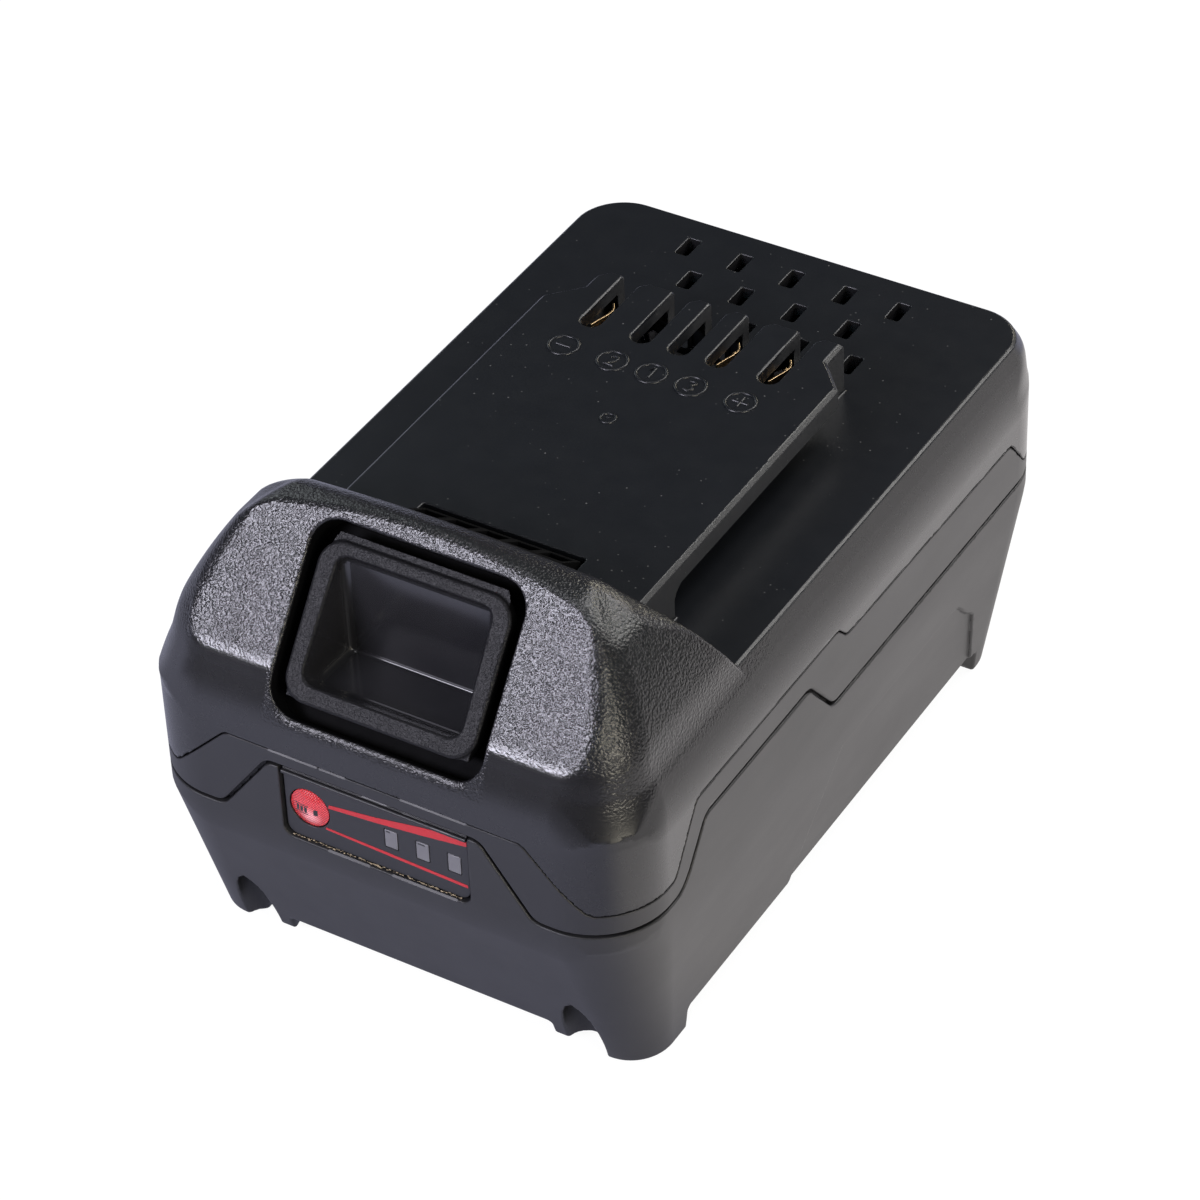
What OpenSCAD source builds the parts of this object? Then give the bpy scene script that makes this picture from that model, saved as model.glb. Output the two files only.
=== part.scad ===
// Slide-on battery pack for a power tool: a tray and an upper housing with a rail, a sprung release
// button in a raised nose, a charge gauge, ten round cells and the boards and contacts that join them.
// The front wall lies at y = 0 while modelling, z = 0 is the level of the feet, and the finished pack
// is moved back by half its length so that its origin is the middle of its foot print.

/* [Body] */
// Width across the side walls
body_w = 76; // [74:0.5:100]
// Length from the front wall to the rear wall
body_l = 122; // [116:0.5:160]
// Radius of the upright corners seen from above
corner_r = 11; // [9:0.5:14]
// Thickness of the moulded walls
wall = 2.2; // [1.8:0.1:2.4]
// Height of the deck that carries the rail
deck_z = 52.5; // [51:0.5:64]
// Height at which the upright walls turn into the sloping shoulder
shoulder_z = 46.3; // [44:0.1:48]
// How far the shoulder leans in for each millimetre of height
shoulder_lean = 0.48; // [0.3:0.01:0.6]

/* [Tray] */
// Height of the soft crease where the tray walls start to lean in
crease_z = 26.5; // [24:0.5:28]
// Lean of the side walls between the crease and the feet
side_lean = 2.8; // [1:0.1:3]
// Lean of the front wall between the crease and the feet
front_lean = 8.9; // [5:0.1:9.5]
// Lean of the rear wall between the crease and the feet
rear_lean = 10.6; // [6:0.1:11]
// Height of the feet below the tray floor
foot_h = 4.2; // [3:0.1:5]
// Length of a foot along the side
foot_l = 19; // [14:0.5:24]
// Distance from the middle plane to the inner side of a foot
foot_x = 27; // [25:0.5:30]
// Thickness of the tray floor
floor_t = 2.2; // [1.8:0.1:2.6]

/* [Parting line] */
// Height of the parting line at the four corner claws
claw_z = 29.9; // [28:0.1:31]
// Height of the parting line over the gauge
gauge_part_z = 40.6; // [39:0.1:42]
// Height of the raised stretch on each side
side_high_z = 38.7; // [36:0.1:40]
// Height of the rear stretch
side_low_z = 31; // [30:0.1:33]
// Half width of the raised stretch over the gauge
gauge_part_x = 16.5; // [15.5:0.1:18]
// Half width at which the front claws begin
claw_x = 24.2; // [23:0.1:26]
// Distances from the front wall at which the side line turns
claw_y = 14; // [12:0.5:16]
// End of the rise behind the front claw
rise_y = 20.3; // [18:0.1:22]
// Start of the step down on the side
step_y = 48.5; // [44:0.5:60]
// Length of the step down on the side
step_l = 6.5; // [4:0.5:9]
// Open gap between tray and upper housing
part_gap = 0.5; // [0.3:0.05:0.7]

/* [Rail] */
// Height of the rail above the deck
rail_h = 8.2; // [7:0.1:9]
// Width across the rail flanges
rail_w = 47.2; // [44:0.1:50]
// Width of the neck under the flanges
neck_w = 38.8; // [38:0.1:41]
// Thickness of the flanges
flange_t = 3.6; // [3:0.1:4]
// End of the full width flanges, from the front wall
rail_end_y = 82.9; // [80:0.1:86]
// End of the terminal part of the rail, from the front wall
block_end_y = 92.4; // [90:0.1:96]
// Length over which the flanges narrow to the neck
flange_taper = 4.6; // [3:0.1:6]
// Length of the thick stretch of each flange behind the nose
flange_root_l = 12; // [6:0.5:16]

/* [Terminal slots] */
// Width of a terminal slot
slot_w = 3; // [2.6:0.1:3.4]
// Front end of the slots, from the front wall
slot_front_y = 79.2; // [77:0.1:82]
// Distance from the middle slot to the next
slot_pitch_in = 6; // [5.6:0.1:6.4]
// Distance from that slot to the outer one
slot_pitch_out = 8.15; // [7.5:0.05:9]
// How much lower the two short signal contacts stand in their slots
short_drop = 4.4; // [3:0.1:5]

/* [Vents] */
// Width of a vent opening
vent_w = 2; // [1.5:0.1:2.5]
// Length of a vent opening
vent_l = 4.2; // [3.5:0.1:5]
// Distance between vents in a row
vent_pitch = 8.6; // [7.5:0.1:9]
// Distance between the vent rows
vent_row = 7.2; // [6.5:0.1:8]
// Distance of the last row from the rear wall
vent_rear = 9.3; // [8:0.1:12]

/* [Nose] */
// Slope of the front face of the nose
face_a = 60.2; // [58:0.1:62]
// Height at which the front wall turns into the sloping face
face_z = 42.3; // [41:0.1:44]
// Height of the top of the nose in the middle
nose_z = 72.7; // [71:0.1:75]
// How much lower the ridge of the nose is at its ends
nose_bow = 1.9; // [1:0.1:3]
// Half length of the ridge
ridge_x = 24.6; // [23:0.1:26]
// Radius along the ridge
ridge_r = 2.6; // [2.5:0.1:3.5]
// Distance from the front wall to the foot of the nose on the deck
nose_back_y = 34.2; // [33:0.1:36]

/* [Release button] */
// Width of the opening in the sloping face
hole_w = 32.8; // [31:0.1:36]
// Height of the opening along the slope
hole_h = 28.4; // [27:0.1:30]
// Distance from the lower edge of the sloping face to the opening
hole_s = 4.2; // [3.5:0.1:5]
// Corner radius of the opening and of the button rim
hole_r = 4; // [3:0.1:5]
// Room beside the button
room_side = 1.7; // [1:0.1:2.2]
// Room above the button
room_top = 2.9; // [1.5:0.1:3.2]
// Room below the button, which the travel uses
room_below = 3; // [2.8:0.1:3.4]
// Width of the rim around the finger tub
rim_w = 2.5; // [2:0.1:3]
// How deep the rim lies below the sloping face
rim_sunk = 0.8; // [0.4:0.1:1.2]
// Thickness of the rim
rim_t = 2.2; // [1.8:0.1:2.6]
// Wall of the finger tub
tub_wall = 1.7; // [1.4:0.1:2]
// How far the skirt behind the opening reaches past its sides
skirt_more = 1.5; // [1:0.1:2]
// Depth of the skirt below the sloping face
skirt_sunk = 5; // [4.8:0.1:5.2]
// Thickness of the skirt
skirt_t = 0.8; // [0.6:0.1:0.9]
// Downward travel of the button
press_travel = 2.8; // [2:0.1:3]
// Height of the latch hook above the rail
hook_h = 2.6; // [2:0.1:2.8]
// Width of the latch slot in the rail
latch_w = 25; // [22:0.5:28]
// Rear edge of the latch slot, from the front wall
latch_end_y = 34.6; // [34:0.1:36]
// Length of the latch slot
latch_l = 6.4; // [5:0.1:7]
// Number of coring pockets in the ramp of the hook
pocket_count = 5; // [3:1:7]

/* [Gauge] */
// Half width of the gauge panel
gauge_x = 14.4; // [13.5:0.1:15]
// Lower edge of the gauge panel
gauge_z = 28.4; // [27.5:0.1:30]
// Corner radius of the gauge panel
gauge_r = 1.6; // [1:0.1:2.5]
// Distance of the push button from the middle, to the left
push_x = 10.4; // [9.5:0.1:11]
// Height of the push button and of the lamps
push_z = 34.1; // [33:0.1:35.5]
// Radius of the push button
push_r = 3; // [2.4:0.1:3.2]
// Travel of the push button
push_travel = 0.5; // [0.3:0.05:0.8]
// Distance of the first lamp from the middle, to the right
lamp_x = 2.3; // [1.5:0.1:3]
// Distance between the lamps
lamp_pitch = 4.85; // [4.2:0.05:5]
// Width of a lamp window
lamp_w = 1.9; // [1.5:0.1:2.4]
// Height of a lamp window
lamp_h = 2.9; // [2.2:0.1:3.5]

/* [Cells] */
// Diameter of a round cell
cell_d = 18.3; // [18:0.1:18.6]
// Length of a round cell
cell_l = 65; // [64:0.1:65.5]
// Distance between neighbouring cells
cell_pitch = 18.9; // [18.7:0.05:19.2]
// Number of cells in a row
cell_count = 5; // [5:1:5]
// Distance of the first cell's axis from the front wall
cell_y = 22.5; // [22:0.1:23.5]
// Room between the tray floor and the lowest point of the cells
cell_lift = 1.05; // [0.9:0.05:1.4]
// Width of the holder plates along the cells
holder_t = 9.5; // [6:0.5:12]
// Thickness of the nickel strips
strip_t = 0.3; // [0.15:0.05:0.4]

/* [Fasteners] */
// Distance of the housing screws from the middle plane
screw_x = 26; // [25.5:0.1:27]
// Distance of the front screws from the front wall
screw_y = 8.2; // [7.8:0.1:8.6]
// Distance of the rear screws from the rear wall
screw_rear = 10; // [9.6:0.1:10.4]
// Radius of the screw shank
shank_r = 1.45; // [1.2:0.05:1.6]
// Radius of the screw head
head_r = 2.6; // [2.2:0.1:2.7]
// Height of the shelf on which the screw heads sit
seat_z = 14; // [12:0.5:16]
// Length of the screw shank
shank_l = 24; // [20:0.5:26]

/* [Clearances] */
// Gap between pieces that only lie beside each other
clear = 0.3; // [0.2:0.05:0.4]
// Gap around pins and screws that run or turn in a hole
run_clear = 0.05; // [0.02:0.01:0.1]

/* [Hidden] */
$fn = 48;
hull_fn = 32;
eps = 0.01;
far = 200;

half_w = body_w / 2;
rail_z = deck_z + rail_h;
floor_z = foot_h + floor_t;
deck_under = deck_z - wall;
deck_inset = shoulder_lean * (deck_z - shoulder_z);
face_lean = 1 / tan(face_a);
lower_axis = floor_z + cell_lift + cell_d / 2;
upper_axis = lower_axis + cell_pitch;
cell_axis_y = [for (i = [0:cell_count - 1]) cell_y + i * cell_pitch];
holder_rim = cell_pitch / 2 + 0.45;
holder_front = cell_y - holder_rim;
holder_back = cell_axis_y[cell_count - 1] + holder_rim;
holder_base = floor_z + 0.2;
holder_top = upper_axis + holder_rim + 0.6;
holder_out = cell_l / 2 - 1;
holder_in = holder_out - holder_t;
board_t = 1.6;
board_top = holder_top + board_t;
board_x = holder_in + 5;
sheet_t = 0.35;
sheet_x = cell_l / 2 + strip_t + 0.1;
slot_centres = [-slot_pitch_in - slot_pitch_out, -slot_pitch_in, 0, slot_pitch_in,
                slot_pitch_in + slot_pitch_out];
screw_spots = [for (s = [-1, 1], y = [screw_y, body_l - screw_rear]) [s * screw_x, y]];
lamp_spots = [for (i = [0:2]) lamp_x + i * lamp_pitch];
hollow_x = neck_w / 2 - wall;
hollow_top = rail_z - 2.5;

// Frame helpers

module pack_frame() {
  translate([0, -body_l / 2, 0]) children();
}

// Places its children on the sloping face: x across, y up the slope, z out of the face
module on_face() {
  translate([0, 0, face_z]) rotate([face_a, 0, 0]) children();
}

// Turns a flat outline drawn in y and z into a bar that is w wide across the middle plane
module bar_x(w) {
  translate([-w / 2, 0, 0]) rotate([90, 0, 90]) linear_extrude(w) children();
}

// Turns a flat outline drawn in x and z into a bar from y0 to y1
module bar_y(y0, y1) {
  translate([0, y1, 0]) rotate([90, 0, 0]) linear_extrude(y1 - y0) children();
}

// Rectangle with round corners, from its lower left corner
module round_rect(w, h, r) {
  translate([r, 0]) square([w - 2 * r, h]);
  translate([0, r]) square([w, h - 2 * r]);
  for (x = [r, w - r], y = [r, h - r]) translate([x, y]) circle(r);
}

// Outline of the body seen from above, moved in by inset on every side
module plan(inset = 0) {
  translate([-half_w + inset, inset])
    round_rect(body_w - 2 * inset, body_l - 2 * inset, corner_r - inset);
}

// Outline of the body behind the nose, with its square end at y0
module rear_plan(inset, y0) {
  intersection() {
    plan(inset);
    translate([-far / 2, y0]) square([far, far]);
  }
}

// Everything below the parting line, raised by up
module below_parting(up) {
  bar_y(-far, claw_y + eps) polygon([
    [-far, -far], [far, -far], [far, claw_z + up], [claw_x, claw_z + up],
    [gauge_part_x, gauge_part_z + up], [-gauge_part_x, gauge_part_z + up],
    [-claw_x, claw_z + up], [-far, claw_z + up]
  ]);
  bar_x(far) polygon([
    [claw_y, -far], [far, -far], [far, side_low_z + up], [step_y + step_l, side_low_z + up],
    [step_y, side_high_z + up], [rise_y, side_high_z + up], [claw_y, claw_z + up]
  ]);
}

// Upper housing

// Solid form of the nose, with its rounded edges moved in by inset
module nose_form(inset = 0) {
  top = nose_z - ridge_r;
  base = crease_z - 4;
  spots = [[0, 0], [0.57, 0.3], [1, 1]];
  low_ball = [half_w - deck_inset - 0.6 * ridge_r, nose_back_y - 0.37 * ridge_r, deck_z - 1.15 * ridge_r];
  hull() {
    for (s = [-1, 1]) {
      translate([s * (half_w - corner_r), corner_r, base])
        cylinder(r = corner_r - inset, h = face_z - 0.4 * inset - base, $fn = hull_fn);
      translate([s * (half_w - corner_r), corner_r + face_lean * (shoulder_z - face_z), base])
        cylinder(r = corner_r - inset, h = shoulder_z - 0.3 * inset - base, $fn = hull_fn);
      translate([s * (half_w - ridge_r), nose_back_y - ridge_r, base])
        cylinder(r = ridge_r - inset, h = shoulder_z - 0.3 * inset - base, $fn = hull_fn);
      translate([s * low_ball[0], low_ball[1], low_ball[2]]) sphere(r = ridge_r - inset, $fn = hull_fn);
      for (p = spots) ridge_ball(s * p[0] * ridge_x, top - p[1] * nose_bow, inset);
    }
  }
}

// Ball that rolls along the ridge, touching the sloping face
module ridge_ball(x, z, inset) {
  y = ridge_r / sin(face_a) + face_lean * (z - face_z);
  translate([x, y, z]) sphere(r = ridge_r - inset, $fn = hull_fn);
}

// Sloping shoulder around the deck
module shoulder_form(inset) {
  top = deck_z - inset;
  lean = shoulder_lean * (deck_z - shoulder_z);
  y0 = nose_back_y - 14;
  hull() {
    translate([0, 0, shoulder_z - inset]) linear_extrude(eps) rear_plan(inset, y0, $fn = hull_fn);
    translate([0, 0, top - eps]) linear_extrude(eps) rear_plan(lean + inset, y0, $fn = hull_fn);
  }
}

// Rail outline seen from above, at half width w
module rail_plan(w) {
  n = neck_w / 2;
  polygon([
    [-w, nose_back_y - 14], [w, nose_back_y - 14], [w, rail_end_y],
    [n, rail_end_y + flange_taper], [n, block_end_y], [-n, block_end_y],
    [-n, rail_end_y + flange_taper], [-w, rail_end_y]
  ]);
}

module rail_form() {
  root_end = nose_back_y + flange_root_l;
  translate([0, 0, deck_z - eps]) linear_extrude(rail_h - flange_t + 2 * eps) rail_plan(neck_w / 2);
  translate([0, 0, rail_z - flange_t]) linear_extrude(flange_t) rail_plan(rail_w / 2);
  bar_x(rail_w) polygon([
    [nose_back_y - 12, deck_z - eps], [root_end - 5, deck_z - eps], [root_end, rail_z - flange_t + eps],
    [nose_back_y - 12, rail_z - flange_t + eps]
  ]);
}

module upper_outer() {
  linear_extrude(shoulder_z) rear_plan(0, nose_back_y - 14);
  shoulder_form(0);
  nose_form();
  intersection() {
    rail_form();
    translate([-far / 2, nose_back_y - 10, 0]) cube([far, far, far]);
  }
}

// Space inside the upper housing, before the screw posts are left standing in it
module upper_cavity() {
  linear_extrude(shoulder_z - wall) rear_plan(wall, nose_back_y - 14);
  shoulder_form(wall);
  nose_form(wall);
  translate([-hollow_x, nose_back_y - 14, shoulder_z])
    cube([2 * hollow_x, block_end_y - wall - nose_back_y + 14, hollow_top - shoulder_z]);
}

// Posts that the housing screws bite into, each with a rib to the nearest wall
module screw_posts() {
  for (p = screw_spots) {
    front = p[1] < body_l / 2;
    translate([p[0], p[1], crease_z + 0.1]) cylinder(r = 3.4, h = far);
    translate([p[0] - 0.8, front ? 0 : p[1], claw_z + 4]) cube([1.6, front ? p[1] : screw_rear, far]);
  }
}

// Collar that stands inside around the opening and guides the button
module button_collar() {
  more = 1.4;
  on_face() translate([-hole_w / 2 - more, hole_s - more, -skirt_sunk + clear])
    linear_extrude(skirt_sunk - clear) round_rect(hole_w + 2 * more, hole_h + 2 * more, hole_r + more);
}

module button_opening() {
  on_face() translate([-hole_w / 2, hole_s, -8]) linear_extrude(16) round_rect(hole_w, hole_h, hole_r);
}

module terminal_slots() {
  for (x = slot_centres) {
    translate([x, slot_front_y + slot_w / 2, deck_z]) cylinder(d = slot_w, h = far);
    translate([x - slot_w / 2, slot_front_y + slot_w / 2, deck_z]) cube([slot_w, far, far]);
  }
}

module vents() {
  last = body_l - vent_rear;
  for (row = [0:2], i = [-2:2]) {
    x = (i + (row == 1 ? 0.5 : 0)) * vent_pitch;
    if (row != 1 || i < 2)
      translate([x - vent_w / 2, last - row * vent_row - vent_l / 2, deck_under - 1])
        cube([vent_w, vent_l, wall + 2]);
  }
}

module latch_slot() {
  translate([-latch_w / 2, latch_end_y - latch_l, hollow_top - 1]) cube([latch_w, latch_l, far]);
}

module upper_housing() {
  color("#26272a") pack_frame() difference() {
    upper_outer();
    difference() {
      upper_cavity();
      screw_posts();
      button_collar();
    }
    below_parting(0);
    intersection() {
      linear_extrude(face_z) plan(wall / 2);
      below_parting(1.6);
    }
    for (p = screw_spots)
      translate([p[0], p[1], 0]) cylinder(r = shank_r + run_clear, h = seat_z + shank_l + 1);
    button_opening();
    terminal_slots();
    vents();
    latch_slot();
  }
}

// Lower tray

// Solid form of the tray below the crease, with its walls moved in by inset
module tray_bowl(inset) {
  foot_r = corner_r - 5;
  z0 = inset > 0 ? floor_z : 0;
  k = (crease_z - z0) / crease_z;
  hull() {
    translate([0, 0, crease_z - eps]) linear_extrude(2 * eps) plan(inset, $fn = hull_fn);
    translate([-half_w + k * side_lean + inset, k * front_lean + inset, z0])
      linear_extrude(eps)
        round_rect(body_w - 2 * k * side_lean - 2 * inset,
                   body_l - k * (front_lean + rear_lean) - 2 * inset, foot_r - 0.7 * inset, $fn = hull_fn);
  }
}

// Screw bosses and the ribs that hold the cell holders, the end sheets and the gauge board
module tray_inside() {
  for (p = screw_spots) translate([p[0], p[1], 0]) cylinder(r = 3.5, h = crease_z - 0.2);
  for (s = [-1, 1], i = [0, 2, 4])
    translate([s > 0 ? sheet_x + sheet_t + clear : -far, cell_axis_y[i] - 0.8, 0])
      cube([far - sheet_x - sheet_t - clear, 1.6, crease_z + 8]);
  for (s = [-1, 1]) {
    translate([s * (holder_in + 2) - 1, 0, 0]) cube([2, holder_front - clear, crease_z + 6]);
    translate([s * (holder_in + 2) - 1, holder_back + clear, 0]) cube([2, far, crease_z + 3]);
    difference() {
      translate([s * (gauge_x + 2.2) - 1.3, 0, 0]) cube([2.6, 11.4, gauge_part_z - 4]);
      gauge_board_blank(clear / 2);
    }
  }
}

// Space below the tray floor that leaves the feet and the screw rings standing
module tray_underside() {
  difference() {
    translate([-far / 2, -far / 2, -1]) cube([far, 2 * far, foot_h + 1]);
    for (s = [-1, 1]) {
      translate([s > 0 ? foot_x : -far, -1, -2]) cube([far - foot_x, foot_l + 1, far]);
      translate([s > 0 ? foot_x : -far, body_l - foot_l, -2]) cube([far - foot_x, foot_l + 1, far]);
    }
    for (p = screw_spots) translate([p[0], p[1], 1.2]) cylinder(r = 5.2, h = far);
  }
}

// Outline of the gauge panel in x and z, larger by more
module gauge_outline(more = 0) {
  translate([-gauge_x - more, gauge_z - more])
    round_rect(2 * (gauge_x + more), far, gauge_r);
}

module lower_tray() {
  color("#303136") pack_frame() difference() {
    union() {
      intersection() {
        union() {
          tray_bowl(0);
          translate([0, 0, crease_z]) linear_extrude(far) plan();
        }
        below_parting(-part_gap);
      }
      intersection() {
        translate([0, 0, crease_z]) linear_extrude(far) plan(wall / 2 + clear);
        below_parting(1.1);
      }
    }
    difference() {
      union() {
        tray_bowl(wall);
        translate([0, 0, crease_z - eps]) linear_extrude(far) plan(wall);
      }
      tray_inside();
    }
    tray_underside();
    bar_y(-1, wall + 0.2) gauge_outline(0.1);
    for (p = screw_spots) {
      translate([p[0], p[1], -1]) cylinder(r = head_r + 0.25, h = seat_z + 1);
      translate([p[0], p[1], 0]) cylinder(r = shank_r + 0.25, h = far);
    }
  }
}

module housing_screws() {
  color("#8c8d90") pack_frame() for (p = screw_spots)
    translate([p[0], p[1], seat_z]) difference() {
      union() {
        translate([0, 0, -2]) cylinder(r = head_r, h = 2);
        cylinder(r = shank_r, h = shank_l - 1.5);
        translate([0, 0, shank_l - 1.5]) cylinder(r1 = shank_r, r2 = 0.4, h = 1.5);
      }
      translate([0, 0, -2.1]) cylinder(r = 1.1, h = 1.3, $fn = 6);
    }
}

// Release button

rim_x = hole_w / 2 - room_side;
rim_s0 = hole_s + room_below;
rim_s1 = hole_s + hole_h - room_top;
tub_floor = face_z + (rim_s0 + rim_w) * sin(face_a);
tub_back = (rim_s1 - rim_w) * cos(face_a) + rim_sunk / sin(face_a);
tub_top = face_z + (rim_s1 - rim_w) * sin(face_a);
arm_z = tub_floor + 4;
arm_t = 2;
hook_top = rail_z + hook_h;
hook_front = latch_end_y - latch_l + 0.5;
hook_back = latch_end_y - 0.5;
pin_x = 9;
pin_y = tub_back + tub_wall + 7.5;
pin_r = 1.5;

// Everything inside the sloping face, down by depth
module behind_face(depth) {
  on_face() translate([-far / 2, -far / 2, -far - depth]) cube([far, far, far]);
}

// Finger tub: a level floor and an upright back wall, open at the sloping face
module tub_outline(more, front) {
  polygon([
    [front, tub_floor - more], [tub_back + more, tub_floor - more],
    [tub_back + more, tub_top + more + 0.4], [front, tub_top + more + 0.4]
  ]);
}

// Ramp of the hook, seen from the side
module hook_outline() {
  polygon([
    [hook_front, arm_z], [hook_back, arm_z], [hook_back, rail_z - 0.3],
    [hook_front + 1, hook_top], [hook_front, hook_top]
  ]);
}

// Coring pockets that leave ribs across the ramp
module hook_pockets() {
  pitch = (latch_w - 1) / pocket_count;
  for (i = [0:pocket_count - 1])
    translate([(i - (pocket_count - 1) / 2) * pitch, 0, 0])
      bar_x(pitch - 1.2) polygon([
        [hook_front + 1.6, rail_z - 0.6], [hook_back - 0.8, rail_z - 2.2], [hook_back - 0.8, far],
        [hook_front + 1.6, far]
      ]);
}

module release_button() {
  color("#232427") pack_frame() difference() {
    union() {
      on_face() translate([-rim_x, rim_s0, -rim_sunk - rim_t])
        linear_extrude(rim_t) round_rect(2 * rim_x, rim_s1 - rim_s0, hole_r);
      on_face() translate([-hole_w / 2 - skirt_more, hole_s - 2.2, -skirt_sunk - skirt_t])
        linear_extrude(skirt_t) round_rect(hole_w + 2 * skirt_more, hole_h + 1.1, hole_r);
      intersection() {
        bar_x(2 * (rim_x - rim_w + tub_wall)) tub_outline(tub_wall, -far);
        behind_face(rim_sunk + 0.6);
      }
      difference() {
        translate([-latch_w / 2 + 0.6, tub_back + tub_wall - eps, arm_z])
          cube([latch_w - 1.2, hook_back - tub_back - tub_wall + eps, arm_t]);
        for (s = [-1, 1])
          translate([s * pin_x, pin_y, 0]) cylinder(r = pin_r + run_clear, h = far);
      }
      difference() {
        bar_x(latch_w - 1) hook_outline();
        hook_pockets();
      }
    }
    bar_x(2 * (rim_x - rim_w)) tub_outline(0, -far);
  }
}

// Bracket with two upright pins that guide the button and its springs
module latch_bracket() {
  color("#3a3b3e") pack_frame() {
    translate([-holder_out + 2, pin_y - 6, holder_top]) cube([2 * holder_out - 4, 11, 1.8]);
    for (s = [-1, 1]) translate([s * pin_x, pin_y, holder_top + 1.8 - eps])
      cylinder(r = pin_r, h = arm_z + arm_t + 1 - holder_top - 1.8);
  }
}

// Springs

spring_wire = 0.4;
spring_turns = 4;
spring_r = pin_r + run_clear + spring_wire + 0.55;
spring_z0 = holder_top + 1.8 + spring_wire + 0.1;
spring_z1 = arm_z - spring_wire - 0.1;
spring_pitch = (spring_z1 - spring_z0) / spring_turns;
echo(spring_gap = spring_pitch * cos(atan(spring_pitch / (2 * PI * spring_r))) - 2 * spring_wire);

// Wire swept along a helix, with a flat cap at each end
module coil_spring(r, wire, z0, z1, turns) {
  sides = 6;
  rings = turns * 8;
  points = [
    for (i = [0:rings], j = [0:sides - 1])
      let (a = 360 * turns * i / rings, b = 360 * j / sides, q = r + wire * cos(b))
        [q * cos(a), q * sin(a), z0 + (z1 - z0) * i / rings + wire * sin(b)]
  ];
  walls = [
    for (i = [0:rings - 1], j = [0:sides - 1], half = [0, 1])
      let (k = (j + 1) % sides, a = i * sides, b = a + sides)
        half == 0 ? [a + j, b + j, b + k] : [a + j, b + k, a + k]
  ];
  start_cap = [for (j = [1:sides - 2]) [0, j, j + 1]];
  last = rings * sides;
  end_cap = [for (j = [1:sides - 2]) [last, last + j + 1, last + j]];
  polyhedron(points, concat(walls, start_cap, end_cap));
}

module latch_springs() {
  color("#b9babd") pack_frame() for (s = [-1, 1])
    translate([s * pin_x, pin_y, 0]) coil_spring(spring_r, spring_wire, spring_z0, spring_z1, spring_turns);
}

// Gauge

panel_y = 0.6;
flange_y = wall + 0.2;
gauge_board_y = 9.1;
gauge_board_t = 1.2;
button_flange = flange_y + 1.05 + clear;
button_back = button_flange + 0.8;
switch_face = gauge_board_y - 3.1;

module gauge_panel() {
  color("#1d1e21") pack_frame() difference() {
    union() {
      intersection() {
        bar_y(panel_y, flange_y + 0.1) gauge_outline(-0.15);
        translate([-far / 2, -1, 0]) cube([far, far, gauge_part_z - part_gap - 0.1]);
      }
      translate([-gauge_x - 0.9, flange_y + 0.05, gauge_z - 1.2])
        cube([2 * gauge_x + 1.8, 1, gauge_part_z - part_gap - gauge_z - 0.4]);
    }
    bar_y(-1, far) translate([-push_x, push_z]) circle(push_r + 0.12);
    for (x = lamp_spots)
      bar_y(-1, far) translate([x - lamp_w / 2 - 0.1, push_z - lamp_h / 2 - 0.1])
        square([lamp_w + 0.2, lamp_h + 0.2]);
  }
}

// Domed push button with a flange behind the panel
module gauge_button() {
  dome_r = 6.2;
  color("#c8282d") pack_frame() translate([-push_x, 0, push_z]) rotate([-90, 0, 0]) {
    intersection() {
      cylinder(r = push_r, h = 2);
      translate([0, 0, dome_r]) sphere(dome_r, $fn = 96);
    }
    translate([0, 0, 1.9]) cylinder(r = push_r, h = button_flange - 1.5);
    translate([0, 0, button_flange]) cylinder(r = push_r + 0.8, h = button_back - button_flange);
  }
}

module lamp_windows() {
  color("#8d9194") pack_frame() for (x = lamp_spots)
    translate([x - lamp_w / 2, panel_y + 0.05, push_z - lamp_h / 2]) cube([lamp_w, 6.9, lamp_h]);
}

// Gauge board outline, larger by more, used for the board and for its slots
module gauge_board_blank(more = 0) {
  translate([-gauge_x - 1.6 - more, gauge_board_y - more, gauge_z - 2 - more])
    cube([2 * gauge_x + 3.2 + 2 * more, gauge_board_t + 2 * more, far]);
}

module gauge_board() {
  color("#1f5a38") pack_frame() intersection() {
    gauge_board_blank();
    translate([-far / 2, 0, 0]) cube([far, far, gauge_part_z - 1]);
  }
}

module switch_body() {
  color("#2b2c2e") pack_frame() difference() {
    translate([-push_x - 3, switch_face, push_z - 3]) cube([6, gauge_board_y - switch_face, 6]);
    translate([-push_x, switch_face - 1, push_z]) rotate([-90, 0, 0]) cylinder(r = 1.5, h = 2.4);
  }
}

module switch_plunger() {
  color("#d9d4c4") pack_frame() translate([-push_x, button_back + 0.02, push_z]) rotate([-90, 0, 0])
    cylinder(r = 1.5 - run_clear, h = switch_face + 1.4 - push_travel - 0.2 - button_back);
}

module gauge_lamps() {
  color("#e8e4d0") pack_frame() for (x = lamp_spots)
    translate([x - 0.8, gauge_board_y - 0.9, push_z - 0.5]) cube([1.6, 0.9, 1]);
}

cable_z = upper_axis + cell_d / 2 + 0.35;
cable_end = holder_front + 28;

// Flat cable from the gauge board over the first cells to the main board
module gauge_cable() {
  y0 = gauge_board_y + gauge_board_t;
  color("#9a9ca0") pack_frame() bar_x(6) polygon([
    [y0, push_z], [y0 + 0.6, push_z], [y0 + 0.6, cable_z], [cable_end + 1.5, cable_z],
    [cable_end + 1.5, holder_top], [cable_end, holder_top], [cable_end, cable_z + 0.6],
    [y0, cable_z + 0.6]
  ]);
}

// Cells

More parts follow.
